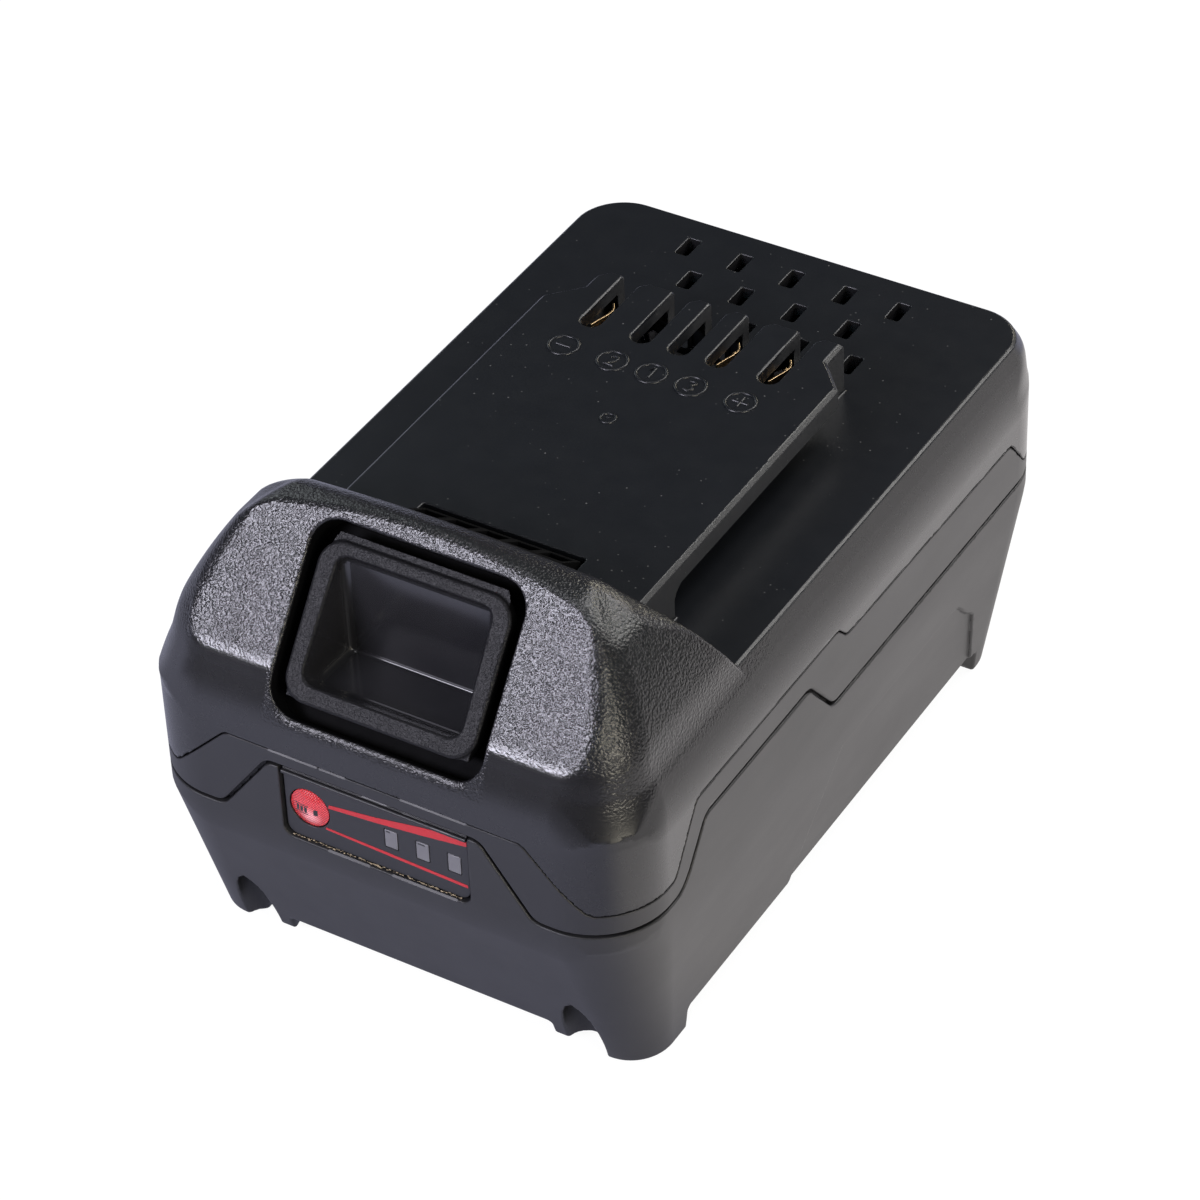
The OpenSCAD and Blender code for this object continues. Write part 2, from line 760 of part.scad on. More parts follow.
// One round cell along x with its raised pole at the far end
module cell() {
  r = cell_d / 2;
  rotate([0, 90, 0]) translate([0, 0, -cell_l / 2]) rotate_extrude($fn = 64) polygon([
    [0, 0], [r - 0.3, 0], [r, 0.3], [r, cell_l - 4.8], [r - 0.4, cell_l - 4.3], [r - 0.4, cell_l - 3.6],
    [r, cell_l - 3.1], [r, cell_l - 1.1], [r - 0.6, cell_l - 0.8], [3.2, cell_l - 0.8], [3.2, cell_l],
    [0, cell_l]
  ]);
}

module cell_row(z) {
  for (i = [0:cell_count - 1])
    translate([0, cell_axis_y[i], z]) rotate([0, 0, i % 2 == 0 ? 0 : 180]) cell();
}

module cells_lower() {
  color("#2f8f9d") pack_frame() cell_row(lower_axis);
}

module cells_upper() {
  color("#2f8f9d") pack_frame() cell_row(upper_axis);
}

// Holder plate on one side, bored for every cell, with ears that reach to the housing wall
module cell_holder(s) {
  x0 = s > 0 ? holder_in : -holder_out;
  ear_x = half_w - wall - clear;
  difference() {
    union() {
      translate([x0, holder_front, holder_base])
        cube([holder_t, holder_back - holder_front, holder_top - holder_base]);
      for (y = [holder_front, holder_back - 1.6])
        translate([s > 0 ? holder_in : -ear_x, y, crease_z + 6])
          cube([ear_x - holder_in, 1.6, shoulder_z - wall - 0.5 - crease_z - 6]);
    }
    for (y = cell_axis_y, z = [lower_axis, upper_axis])
      translate([-far / 2, y, z]) rotate([0, 90, 0]) cylinder(r = cell_d / 2 + run_clear, h = far);
  }
}

module cell_holder_left() {
  color("#4a4c50") pack_frame() cell_holder(-1);
}

module cell_holder_right() {
  color("#4a4c50") pack_frame() cell_holder(1);
}

// Strip that joins the cell ends from column a to column b
module strip(s, a, b) {
  x = s > 0 ? cell_l / 2 : -cell_l / 2 - strip_t;
  span = cell_axis_y[b] - cell_axis_y[a];
  translate([x, cell_axis_y[a] - 5, lower_axis - 5])
    cube([strip_t, span + 10, upper_axis - lower_axis + 10]);
}

// Arm that carries the current of column a along the cell tops and onto the board at tab_y
module strip_arm(s, a, tab_y) {
  x = s > 0 ? cell_l / 2 : -cell_l / 2 - strip_t;
  y0 = min(cell_axis_y[a], tab_y) - 4;
  y1 = max(cell_axis_y[a], tab_y) + 4;
  z0 = upper_axis + cell_d / 2 + 0.3;
  translate([x, cell_axis_y[a] - 4, upper_axis]) cube([strip_t, 8, board_top + strip_t - upper_axis]);
  translate([x, y0, z0]) cube([strip_t, y1 - y0, board_top + strip_t - z0]);
  translate([s > 0 ? board_x - 4 : x, tab_y - 4, board_top])
    cube([cell_l / 2 + strip_t - board_x + 4, 8, strip_t]);
}

module nickel_strips_left() {
  color("#c9cacb") pack_frame() {
    strip(-1, 0, 1);
    strip(-1, 2, 3);
    strip(-1, 4, 4);
    strip_arm(-1, 4, board_y1 - 12);
  }
}

module nickel_strips_right() {
  color("#c9cacb") pack_frame() {
    strip(1, 0, 0);
    strip(1, 1, 2);
    strip(1, 3, 4);
    strip_arm(1, 0, board_y0 + 12);
  }
}

// Fibre sheets between the nickel strips and the tray walls
module end_sheets() {
  z0 = lower_axis - 7;
  color("#b8a77f") pack_frame() for (s = [-1, 1])
    translate([s > 0 ? sheet_x : -sheet_x - sheet_t, holder_front + 2.2, z0])
      cube([sheet_t, holder_back - holder_front - 4.4, upper_axis + 5.5 - z0]);
}

// Foam strips on the tray floor under the cells
module cell_pads() {
  color("#55575c") pack_frame() for (s = [-1, 1])
    translate([s * 11 - 6, holder_front + 4, floor_z])
      cube([12, holder_back - holder_front - 8, cell_lift - 0.15]);
}

// Boards

board_y0 = cable_end - 1;
board_y1 = block_end_y - 1;

module main_board() {
  color("#1f5a38") pack_frame() difference() {
    translate([-board_x, board_y0, holder_top]) cube([2 * board_x, board_y1 - board_y0, board_t]);
    for (s = [-1, 1], y = [board_y0 + 4, board_y1 - 4])
      translate([s * (board_x - 2.5), y, holder_top - 1]) cylinder(r = 1.25, h = board_t + 2);
  }
}

thermistor_y = cell_y + 1.5 * cell_pitch;
thermistor_r = 1.2;

// Fibre sheet between the cells and the main board
module board_sheet() {
  z0 = upper_axis + cell_d / 2 + 0.45;
  color("#b8a77f") pack_frame() difference() {
    translate([-holder_in + 0.5, cable_end + 2, z0])
      cube([2 * holder_in - 1, board_y1 - cable_end - 2, 0.4]);
    translate([2, thermistor_y - 1.5, z0 - 1]) cube([6, 3, 3]);
  }
}

module power_transistors() {
  color("#232427") pack_frame() for (x = [-13, -4.5, 4.5, 13])
    translate([x - 3.3, board_y0 + 12, board_top]) {
      cube([6.6, 9, 2.3]);
      translate([0.8, 9 - eps, 0]) cube([5, 2.4, 0.9]);
    }
}

module board_capacitors() {
  color("#3c4a6b") pack_frame() for (x = [-12, 0, 12])
    translate([x, board_y0 + 30, board_top]) {
      cylinder(r = 2.8, h = 1);
      translate([0, 0, 1 - eps]) cylinder(r = 3.1, h = 5.6);
    }
}

module control_chip() {
  color("#202124") pack_frame() translate([-22.5, board_y0 + 26, board_top]) cube([7, 7, 1.2]);
}

module shunt_bar() {
  color("#b08a5a") pack_frame() translate([15.5, board_y0 + 26, board_top]) bar_y(0, 5) polygon([
    [0, 0], [1.6, 0], [2.2, 0.8], [5.2, 0.8], [5.8, 0], [7.4, 0], [7.4, 0.5], [6.1, 0.5], [5.5, 1.3],
    [1.9, 1.3], [1.3, 0.5], [0, 0.5]
  ]);
}

module board_screws() {
  color("#8c8d90") pack_frame() for (s = [-1, 1], y = [board_y0 + 4, board_y1 - 4])
    translate([s * (board_x - 2.5), y, board_top]) difference() {
      union() {
        cylinder(r = 2.1, h = 1.2);
        translate([0, 0, -board_t + 0.1]) cylinder(r = 1.25 - run_clear, h = board_t);
      }
      translate([0, 0, 0.5]) cylinder(r = 0.9, h = 1, $fn = 6);
    }
}

// Heat sensor in the valley between two upper cells, on two stiff leads
module thermistor() {
  reach = cell_d / 2 + thermistor_r + 0.1;
  z = upper_axis + sqrt(reach * reach - cell_pitch * cell_pitch / 4);
  color("#2a2b2d") pack_frame() {
    translate([5, thermistor_y, z]) sphere(thermistor_r);
    for (dx = [-0.6, 0.6]) translate([5 + dx, thermistor_y, z]) cylinder(r = 0.3, h = holder_top - z);
  }
}

// Terminals

carrier_top = deck_z - 0.5;
contact_top = rail_z - 0.8;
contact_root = slot_front_y + 1.6;

module terminal_carrier() {
  x0 = slot_centres[4] + 2.6;
  y0 = contact_root - 2;
  y1 = block_end_y - wall - clear;
  color("#34363a") pack_frame() difference() {
    translate([-x0, y0, board_top]) cube([2 * x0, y1 - y0, carrier_top - board_top]);
    for (x = slot_centres) contact_blank(x, 0.05);
  }
}

// Foot of a contact in the carrier
module contact_blank(x, more) {
  translate([x - 1.1 - more, contact_root - more, carrier_top - 2.6 - more])
    cube([2.2 + 2 * more, 2 + 2 * more, far]);
}

// Fork contact: two leaves that close towards each other and flare at their mouth
module contact(x, top) {
  leaf = 0.35;
  mid = contact_root + 5.2;
  tip = contact_root + 8.4;
  color("#b98a4a") translate([x, 0, 0]) {
    translate([-1.1, contact_root, carrier_top - 2.6]) cube([2.2, 2, top - carrier_top + 1.4]);
    for (s = [-1, 1]) mirror([s > 0 ? 0 : 1, 0, 0]) translate([0, 0, carrier_top + 0.4])
      linear_extrude(top - carrier_top - 0.4) polygon([
        [1.1 - leaf, contact_root + 1.9], [1.1, contact_root + 1.9], [0.3 + leaf, mid], [1.15, tip],
        [1.15 - leaf, tip], [0.3, mid]
      ]);
  }
}

module contact_minus() {
  pack_frame() contact(slot_centres[0], contact_top);
}

module contact_plus() {
  pack_frame() contact(slot_centres[4], contact_top);
}

module signal_contacts() {
  pack_frame() for (i = [1:3]) contact(slot_centres[i], contact_top - (i == 3 ? 0 : short_drop));
}

upper_housing();
lower_tray();
housing_screws();
release_button();
latch_bracket();
latch_springs();
gauge_panel();
gauge_button();
lamp_windows();
gauge_board();
switch_body();
switch_plunger();
gauge_lamps();
gauge_cable();
cells_lower();
cells_upper();
cell_holder_left();
cell_holder_right();
nickel_strips_left();
nickel_strips_right();
end_sheets();
cell_pads();
main_board();
board_sheet();
power_transistors();
board_capacitors();
control_chip();
shunt_bar();
board_screws();
thermistor();
terminal_carrier();
contact_minus();
contact_plus();
signal_contacts();
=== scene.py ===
"""Slide-on battery pack for a power tool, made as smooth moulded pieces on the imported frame."""

import math
from functools import reduce
from types import SimpleNamespace

import bmesh
import bpy
import numpy as np
from bpy.props import FloatProperty, FloatVectorProperty, PointerProperty
from mathutils import Matrix, Vector


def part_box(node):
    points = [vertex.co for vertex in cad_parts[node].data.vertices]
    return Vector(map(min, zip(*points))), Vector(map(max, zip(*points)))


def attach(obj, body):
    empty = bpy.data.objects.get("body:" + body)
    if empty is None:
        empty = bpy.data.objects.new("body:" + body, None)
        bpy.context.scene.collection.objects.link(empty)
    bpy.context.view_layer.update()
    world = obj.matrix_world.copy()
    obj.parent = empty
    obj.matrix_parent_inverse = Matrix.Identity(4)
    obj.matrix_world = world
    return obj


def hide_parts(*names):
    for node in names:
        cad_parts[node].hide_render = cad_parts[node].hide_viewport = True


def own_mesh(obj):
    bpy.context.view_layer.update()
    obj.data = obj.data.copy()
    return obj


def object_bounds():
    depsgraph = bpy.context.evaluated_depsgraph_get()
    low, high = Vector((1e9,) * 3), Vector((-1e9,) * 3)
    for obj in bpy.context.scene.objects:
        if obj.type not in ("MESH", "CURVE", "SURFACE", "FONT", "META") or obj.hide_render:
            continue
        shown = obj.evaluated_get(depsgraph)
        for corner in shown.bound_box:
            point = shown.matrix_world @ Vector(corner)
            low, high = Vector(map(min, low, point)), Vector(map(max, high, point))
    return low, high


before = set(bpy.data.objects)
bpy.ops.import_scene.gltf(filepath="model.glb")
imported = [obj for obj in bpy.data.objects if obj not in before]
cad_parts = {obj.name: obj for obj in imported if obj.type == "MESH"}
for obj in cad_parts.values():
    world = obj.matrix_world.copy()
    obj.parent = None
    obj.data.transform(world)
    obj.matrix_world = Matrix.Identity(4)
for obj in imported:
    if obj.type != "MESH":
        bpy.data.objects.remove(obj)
CAD_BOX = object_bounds()

bl_info = {
    "name": "Power tool battery pack",
    "version": (1, 0, 0),
    "blender": (4, 5, 0),
    "location": "3D View > Sidebar > Battery Pack",
    "description": "Builds a slide-on battery pack with a sprung release button and a charge gauge",
    "category": "Object",
}

MM = 0.001
LOW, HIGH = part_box("upper_housing")

# Places in millimetres: x from the middle, y from the front wall, z from the feet
SCREW_X, SCREW_Y = 26.0, (8.2, 112.0)
SLOT_X = (-14.15, -6.0, 0.0, 6.0, 14.15)
SLOT_FRONT = 79.2
BLOCK_END = 92.4
PIN_X, PIN_Y = 9.0, 23.64
ARM_LOW, ARM_HIGH = 54.7, 56.7
HOOK_FRONT, HOOK_REAR = 28.7, 34.1
TUB_FLOOR, TUB_BACK, TUB_HALF = 50.7, 14.4, 11.6
CAP_X, CAP_Z = -10.4, 34.1
LAMP_X = (2.3, 7.15, 12.0)
DOME_R = 6.2
SHOULDER_LEAN = 0.44
FACE_ANGLE = math.radians(53.2)
FACE_COS, FACE_SIN = math.cos(FACE_ANGLE), math.sin(FACE_ANGLE)


def length(name, description, default):
    """A size of the pack, in metres."""
    return FloatProperty(name=name, description=description, default=default, min=0.0, unit="LENGTH", precision=5)


def tint(name, description, default):
    """A colour of the pack."""
    return FloatVectorProperty(
        name=name, description=description, default=default, subtype="COLOR", size=3, min=0, max=1
    )


class PackSizes(bpy.types.PropertyGroup):
    """Sizes of the moulded pieces"""

    body_width: length("Body width", "Width across the side walls", HIGH.x - LOW.x)
    body_length: length("Body length", "Length from the front wall to the rear wall", HIGH.y - LOW.y)
    nose_height: length("Nose height", "Top of the nose above the feet", HIGH.z)
    corner_radius: length("Corner radius", "Radius of the upright corners", 0.011)
    wall: length("Wall", "Thickness of the moulded walls", 0.0022)
    deck_height: length("Deck height", "Deck above the feet", 0.0525)
    shoulder_height: length("Shoulder height", "Height at which the walls turn into the shoulder", 0.0463)
    face_height: length("Face height", "Height at which the plane of the sloping face meets the front wall", 0.04944)
    rail_height: length("Rail height", "Rail above the deck", 0.0082)
    rail_width: length("Rail width", "Width across the rail flanges", 0.0472)
    neck_width: length("Neck width", "Width of the rail under its flanges", 0.0388)
    flange: length("Flange", "Thickness of the rail flanges", 0.0036)
    slot_width: length("Slot width", "Width of a terminal slot", 0.003)
    hole_width: length("Button opening width", "Width of the opening for the release button", 0.0323)
    crease_height: length("Crease height", "Height at which the tray walls start to lean in", 0.0265)
    foot_height: length("Foot height", "Height of the feet", 0.0038)
    part_gap: length("Parting gap", "Open gap between tray and upper housing", 0.0005)
    line_gap: length("Fine line", "Width of the fine line above the parting gap", 0.00016)
    push_radius: length("Push button radius", "Radius of the gauge's push button", 0.003)
    grain: length("Grain", "Size of the leather grain", 0.00034)


class PackColours(bpy.types.PropertyGroup):
    """Colours of the pack"""

    housing: tint("Housing", "Upper housing", (0.0110, 0.0110, 0.0122))
    deck: tint("Deck", "Deck and rail", (0.0056, 0.0066, 0.0086))
    tray: tint("Tray", "Lower tray", (0.0150, 0.0150, 0.0162))
    button: tint("Release button", "Rim and finger tub", (0.0115, 0.0115, 0.0130))
    film: tint("Gauge film", "Film on the gauge panel", (0.0130, 0.0130, 0.0146))
    red: tint("Red", "Push button and stripes of the gauge", (0.44, 0.012, 0.020))
    lamp: tint("Lamp windows", "Windows over the lamps", (0.130, 0.129, 0.142))
    bronze: tint("Contacts", "Leaves of the contacts", (0.62, 0.44, 0.24))
    floor: tint("Floor", "Floor and backdrop", (0.90, 0.90, 0.90))


def measures():
    """The sizes as plain numbers in millimetres."""
    group = bpy.context.scene.pack_sizes
    return SimpleNamespace(**{name: getattr(group, name) / MM for name in PackSizes.__annotations__})


def colour(name):
    """A colour of the pack with full opacity."""
    return (*getattr(bpy.context.scene.pack_colours, name), 1.0)


def both(*forms):
    """Inside all of the forms, with sharp edges."""
    return reduce(np.maximum, forms)


def either(*forms):
    """Inside any of the forms, with sharp edges."""
    return reduce(np.minimum, forms)


def meet(a, b, r):
    """Inside both forms, with the edge between them rounded by r."""
    return np.minimum(np.maximum(a, b), -r) + np.hypot(np.maximum(a + r, 0), np.maximum(b + r, 0))


def join(a, b, r):
    """Inside either form, with a fillet of radius r between them."""
    return -meet(-a, -b, r)


def crease(a, b, width):
    """Inside both forms, with the crease between them eased over a small width at any angle."""
    near = np.maximum(width - np.abs(a - b), 0)
    return np.maximum(a, b) + near * near / (4 * width)


def bevel(a, b, depth, spread=math.sqrt(2)):
    """Inside both forms, with the edge between them cut off flat; spread is the length of the summed normals."""
    return both(a, b, (a + b) / spread + depth)


def cut(a, b, r):
    """Inside a and outside b, with the edge between them rounded by r."""
    return meet(a, -b, r)


def panel(u, v, u0, u1, v0, v1, r):
    """Distance to a flat rectangle with round corners."""
    a = np.abs(u - (u0 + u1) / 2) - ((u1 - u0) / 2 - r)
    b = np.abs(v - (v0 + v1) / 2) - ((v1 - v0) / 2 - r)
    return np.hypot(np.maximum(a, 0), np.maximum(b, 0)) + np.minimum(np.maximum(a, b), 0) - r


def between(v, low, high):
    """Distance to the slab from low to high."""
    return np.abs(v - (low + high) / 2) - (high - low) / 2


def ease(t):
    """Smooth step from 0 to 1."""
    t = np.clip(t, 0, 1)
    return t * t * (3 - 2 * t)


def unit(v):
    """Rows of the array at length 1."""
    return v / np.maximum(np.linalg.norm(v, axis=1), 1e-9)[:, None]


def folded(p):
    """Coordinates of the points, with the left half folded onto the right one."""
    return np.abs(p[:, 0]), p[:, 1], p[:, 2]


def screw_posts(x, y, r):
    """Distance to round upright posts at the housing screws."""
    return either(*[np.hypot(x - SCREW_X, y - at) - r for at in SCREW_Y])


class MouldLine:
    """A line round the body, given as heights across the front and heights along the sides."""

    def __init__(self, front, side, soft):
        self.front = self.heights(front, soft)
        self.side = self.heights(side, soft)

    @staticmethod
    def heights(points, soft):
        """Heights and slopes at close steps, with every corner of the line eased."""
        points = [np.array(p, float) for p in points]
        path = [points[0]]
        for a, b, c in zip(points, points[1:], points[2:]):
            before = b + (a - b) * min(soft / np.linalg.norm(a - b), 0.5)
            after = b + (c - b) * min(soft / np.linalg.norm(c - b), 0.5)
            for t in np.linspace(0, 1, 9):
                path.append((1 - t) ** 2 * before + 2 * t * (1 - t) * b + t * t * after)
        path = np.array(path + [points[-1]])
        at = np.arange(path[0, 0], path[-1, 0] + 0.05, 0.1)
        height = np.interp(at, path[:, 0], path[:, 1])
        return at, height, np.gradient(height, at)

    def above(self, p):
        """Distance above the line, negative below it."""
        across, along, z = folded(p)
        height, slant = [
            np.where(along < 11, np.interp(across, self.front[0], f), np.interp(along, self.side[0], s))
            for f, s in zip(self.front[1:], self.side[1:])
        ]
        return (z - height) / np.hypot(1, slant)


PARTING = MouldLine(
    [(0, 40.5), (16.4, 40.5), (24.2, 30), (40, 30)],
    [(0, 30), (13.5, 30), (15.6, 31.6), (20.4, 38.5), (48.5, 38.7), (55, 31.1), (124, 31)],
    1.3,
)
FINE_LINE = MouldLine(
    [(0, 42.6), (22.7, 42.6), (31.9, 33.2), (40, 33.2)],
    [(0, 33.2), (12.5, 33.2), (18.3, 42.6), (56.4, 42.8), (58.7, 40.4), (107.6, 39.4), (112.4, 33.5), (124, 33.5)],
    1.0,
)


def face_place(p, m):
    """Way up the sloping face and height out of it."""
    y, z = p[:, 1], p[:, 2] - m.face_height
    return FACE_COS * y + FACE_SIN * z, FACE_COS * z - FACE_SIN * y


def leaning(wall, shift, norm, r):
    """An upright wall that turns into a leaning one."""
    return meet(wall, (wall + shift) / norm, r)


def body_walls(p, m):
    """Side, front and rear walls of the upper housing, which lean in above the shoulder."""
    x, y, z = folded(p)
    rise = z - m.shoulder_height
    drift, norm = SHOULDER_LEAN * rise, math.hypot(1, SHOULDER_LEAN)
    side = leaning(x - m.body_width / 2, drift, norm, 1.6)
    rear = leaning(y - m.body_length, drift, norm, 1.6)
    return side, leaning(-y, 0.42 * rise, 1.0846, 1.6), rear


def front_corner(z, m):
    """Radius of the upright front corners, tighter on the nose than below it."""
    return m.corner_radius - 3.0 * ease((z - 44) / 10)


def nose_form(p, m):
    """The raised nose with its sloping face, sharp along its crease and foot and soft at the ends of its ridge."""
    x, y, z = folded(p)
    side, front, _ = body_walls(p, m)
    side = side - 0.9 * ease((z - 50) / 6) + 0.012 * np.maximum(z - 56, 0) ** 2
    top = (z - m.nose_height + 0.004 * x * x) * 0.98
    back = 0.845 * (y - 21.05) + 0.535 * (z - m.nose_height + 0.4)
    face = face_place(p, m)[1]
    beside = ease((side - np.maximum(front, face) + 3) / 6)
    end = 0.5 + 4.6 * ease((z - 60) / 9)
    width = 0.15 + 1.0 * ease((z - 56) / 6) * ease((x - 20) / 8)
    walls = crease(meet(front, side, front_corner(z, m)), face, width)
    return meet(walls, meet(top, back, 2.4), 0.6 + (end - 0.6) * beside)


def deck_form(p, m):
    """The block under the deck with its sloping shoulder."""
    z = p[:, 2]
    side, front, rear = body_walls(p, m)
    rear_corner = m.corner_radius + 0.8 - 5 * ease((z - 45) / 6)
    walls = meet(meet(front, side, front_corner(z, m)), rear, rear_corner)
    return bevel(walls, z - m.deck_height, 0.15, 1.696)


def rail_form(p, m):
    """The rail with its two flanges and their thick roots behind the nose."""
    x, y, z = folded(p)
    top = m.deck_height + m.rail_height
    under = top - m.flange
    wide, neck = m.rail_width / 2, m.neck_width / 2
    taper = 0.7385 * (x - wide) + 0.6743 * (y - 82.9)
    plan = meet(either(both(x - wide, taper), x - neck), y - BLOCK_END, 0.3)
    flange = meet(bevel(plan, z - top, 0.42), under - z, 0.3)
    stem = both(x - neck, y - BLOCK_END, between(z, 48, top - 1))
    groove = both(meet(38.2 - y, z - under, 2.2), neck - x)
    root = both(x - wide, between(z, 50, under + 0.6), -groove, y - 60)
    return both(either(flange, stem, root), 24 - y)


def upper_outside(p, m):
    """Outer form of the upper housing, without and with its rail."""
    y, z = p[:, 1], p[:, 2]
    side = body_walls(p, m)[0]
    fillet = 0.9 * ease((-side - 0.2) / 1.6) * ease((z - 50) / 1.5) * ease((y - 24) / 4)
    body = join(deck_form(p, m), nose_form(p, m), fillet)
    return body, join(body, rail_form(p, m), 0.35 * ease((y - 24) / 2))


def slot_form(p, m, at):
    """One terminal slot, round at its front and open at the rear."""
    dx, dy = p[:, 0] - at, np.minimum(p[:, 1] - SLOT_FRONT - m.slot_width / 2, 0)
    return both(np.hypot(dx, dy) - m.slot_width / 2, p[:, 1] - BLOCK_END - 2, m.deck_height + 0.5 - p[:, 2])


def vent_forms(p, m):
    """The vents in the deck behind the rail."""
    vents = []
    for row in range(3):
        y = m.body_length - 9.3 - row * 7.2
        for i in range(5 if row != 1 else 4):
            x = (i - 2 + (0.5 if row == 1 else 0)) * 8.6
            vents.append(panel(p[:, 0], p[:, 1], x - 1, x + 1, y - 2.1, y + 2.1, 0.3))
    return both(either(*vents), 47 - p[:, 2])


def button_hole(p, m, more=0.0):
    """Opening for the release button in the sloping face."""
    up, _ = face_place(p, m)
    half = m.hole_width / 2 + more
    return panel(p[:, 0], up, -half, half, -0.2 - more, 26.5 + more, 4.0 + more)


def finger_cuts(p, m):
    """Wedges that take the rear left corner off the block and off each finger."""
    x, y, z = p.T
    wedges = []
    for edge, size in [(-m.neck_width / 2, 2.4)] + [(at + m.slot_width / 2, 1.7) for at in SLOT_X]:
        wedge = (BLOCK_END - y + (x - edge) - size) / math.sqrt(2)
        wedges.append(both(wedge, np.abs(x - edge) - size - 0.4))
    return both(either(*wedges), m.deck_height + 0.3 - z)


def upper_solid(p, m):
    """Upper housing with its walls, openings and posts before it is cut at its two lines, and its outer form."""
    x, y, z = folded(p)
    body, solid = upper_outside(p, m)
    up, out = face_place(p, m)
    under_rail = panel(x, z, -17.2, 17.2, 40, 58.2, 0.6)
    hollow = body + m.wall
    hollow = np.where(between(y, 22, 90.2) > 0, hollow, either(hollow, under_rail))
    hollow = cut(hollow, screw_posts(x, y, 3.4), 0.3)
    collar = both(button_hole(p, m, 1.4), between(out, -4.7, -1))
    solid = cut(solid, both(hollow, -collar), 0.3)
    solid = both(solid, -both(screw_posts(x, y, 1.5), z - 40))
    solid = cut(solid, both(button_hole(p, m), -9 - out), 0.42 + 1.1 * ease((1.6 - up) / 2.4))
    latch = both(panel(p[:, 0], y, -12.5, 12.5, 28.2, 34.6, 0.3), 55 - z)
    solid = cut(solid, latch, 0.25)
    for at in SLOT_X:
        solid = cut(solid, slot_form(p, m, at), 0.42)
    solid = cut(solid, finger_cuts(p, m), 0.2)
    return cut(solid, vent_forms(p, m), 0.2), body


def shell_form(p, m):
    """Upper housing above the fine line, with the inner wall that reaches down to the parting gap."""
    solid, body = upper_solid(p, m)
    above = meet(solid, m.line_gap / 2 - FINE_LINE.above(p), 0.1)
    return either(above, both(solid, body + 1.25, 0.3 - PARTING.above(p)))


def band_form(p, m):
    """Smooth band of the upper housing between the fine line and the parting gap."""
    body = deck_form(p, m)
    below = FINE_LINE.above(p) + m.line_gap / 2
    return meet(meet(both(body, -1.2 - body), below, 0.12), -PARTING.above(p), 0.3)


def tray_outside(p, m):
    """Side walls and outer form of the tray."""
    x, y, z = folded(p)
    down = m.crease_height - z
    side = leaning(x - m.body_width / 2, down * 2.8 / 26.5, 1.0056, 0.4)
    front = leaning(-y, down * 8.9 / 26.5, 1.0549, 1.0)
    rear = leaning(y - m.body_length, down * 0.4, 1.077, 1.0)
    corner = m.corner_radius - 5 * np.clip(down / m.crease_height, 0, 1)
    return side, meet(meet(side, front, corner), rear, corner + 0.8)


def tray_form(p, m):
    """Lower tray with its feet, screw rings, gauge opening and shallow side panels."""
    x, y, z = folded(p)
    side, outside = tray_outside(p, m)
    above = PARTING.above(p)
    solid = meet(meet(outside, above + m.part_gap, 0.25), -z, 0.5)
    hollow = meet(outside + m.wall, m.foot_height + 2.2 - z, 0.6)
    hollow = cut(hollow, both(screw_posts(x, y, 3.5), z - 26.3), 0.3)
    lip = both(outside + 1.45, above - 1.1, m.crease_height - z)
    solid = both(either(solid, lip), -hollow)
    feet = meet(27 - x, np.minimum(y, m.body_length - y) - 19, 2.2)
    rings = both(screw_posts(x, y, 5.2), 1.2 - z)
    solid = cut(solid, cut(cut(z - m.foot_height, feet, 0.6), rings, 0.6), 0.5)
    solid = cut(solid, both(screw_posts(x, y, 2.85), z - 14), 0.35)
    solid = both(solid, -screw_posts(x, y, 1.7))
    solid = cut(solid, both(panel(p[:, 0], z, -14.5, 14.5, 28.3, 60, 1.7), y - 3.2), 0.2)
    recess = both(-0.795 * (y - 50) + 0.607 * (z - 8.5), z - 20.1)
    recess = meet(recess, 0.69 * (y - 92.7) + 0.724 * (z - 20.3), 1.0)
    return cut(solid, both(recess, 0.986 * (y - 99.6) + 0.166 * (z - 13.7), -0.45 - side), 0.3)


def tub_form(p, more=0.0, floor=0.0):
    """Finger tub: its level floor, upright back and side walls, grown by floor and more, and its upper limit."""
    x, y, z = folded(p)
    flare = np.clip(TUB_BACK - y, 0, 12) * 0.05
    hollow = meet(TUB_FLOOR - floor - z, y - TUB_BACK - more, 0.5)
    return meet(hollow, x - TUB_HALF - flare - more, 1.2), z - 67.2 - more


def hook_form(p):
    """The latch hook behind the nose, with five pockets and a ramp."""
    x, y, z = folded(p)
    hook = both(between(y, HOOK_FRONT, HOOK_REAR), between(z, ARM_LOW, 63.3))
    hook = both(meet(hook, 0.55 * (y - 29.7) + 0.835 * (z - 63.3), 0.25), x - 12)
    pitch = 4.8
    cell = np.abs((p[:, 0] + 2.5 * pitch) % pitch - pitch / 2) - 1.8
    pocket = both(cell, between(y, 30.3, 33.3), 60.1 - 0.53 * (y - 30.3) - z, x - 12)
    return cut(hook, pocket, 0.15)


def button_form(p, m):
    """Release button: rim, finger tub, guide arm and latch hook."""
    x, y, z = folded(p)
    up, out = face_place(p, m)
    rim = meet(panel(p[:, 0], up, -14.55, 14.55, 2.3, 24.1, 3.6), between(out, -2.6, -0.4), 0.5)
    tub = both(*tub_form(p, 1.7, 0.9), out + 1.1, either(2.6 - up, out + 2.4))
    arm = both(x - 11.9, between(y, 15.5, HOOK_REAR), between(z, ARM_LOW, ARM_HIGH))
    arm = both(arm, 1.55 - np.hypot(x - PIN_X, y - PIN_Y))
    skirt = meet(panel(p[:, 0], up, -17.9, 17.9, -1.4, 25.9, 4.0), between(out, -6.2, -5.4), 0.2)
    solid = either(join(rim, tub, 0.3), skirt, arm, hook_form(p))
    mouth = both(panel(p[:, 0], up, -12.3, 12.3, 4.85, 22.2, 2.4), -14 - out)
    return cut(solid, meet(both(*tub_form(p)), mouth, 0.4), 0.45)


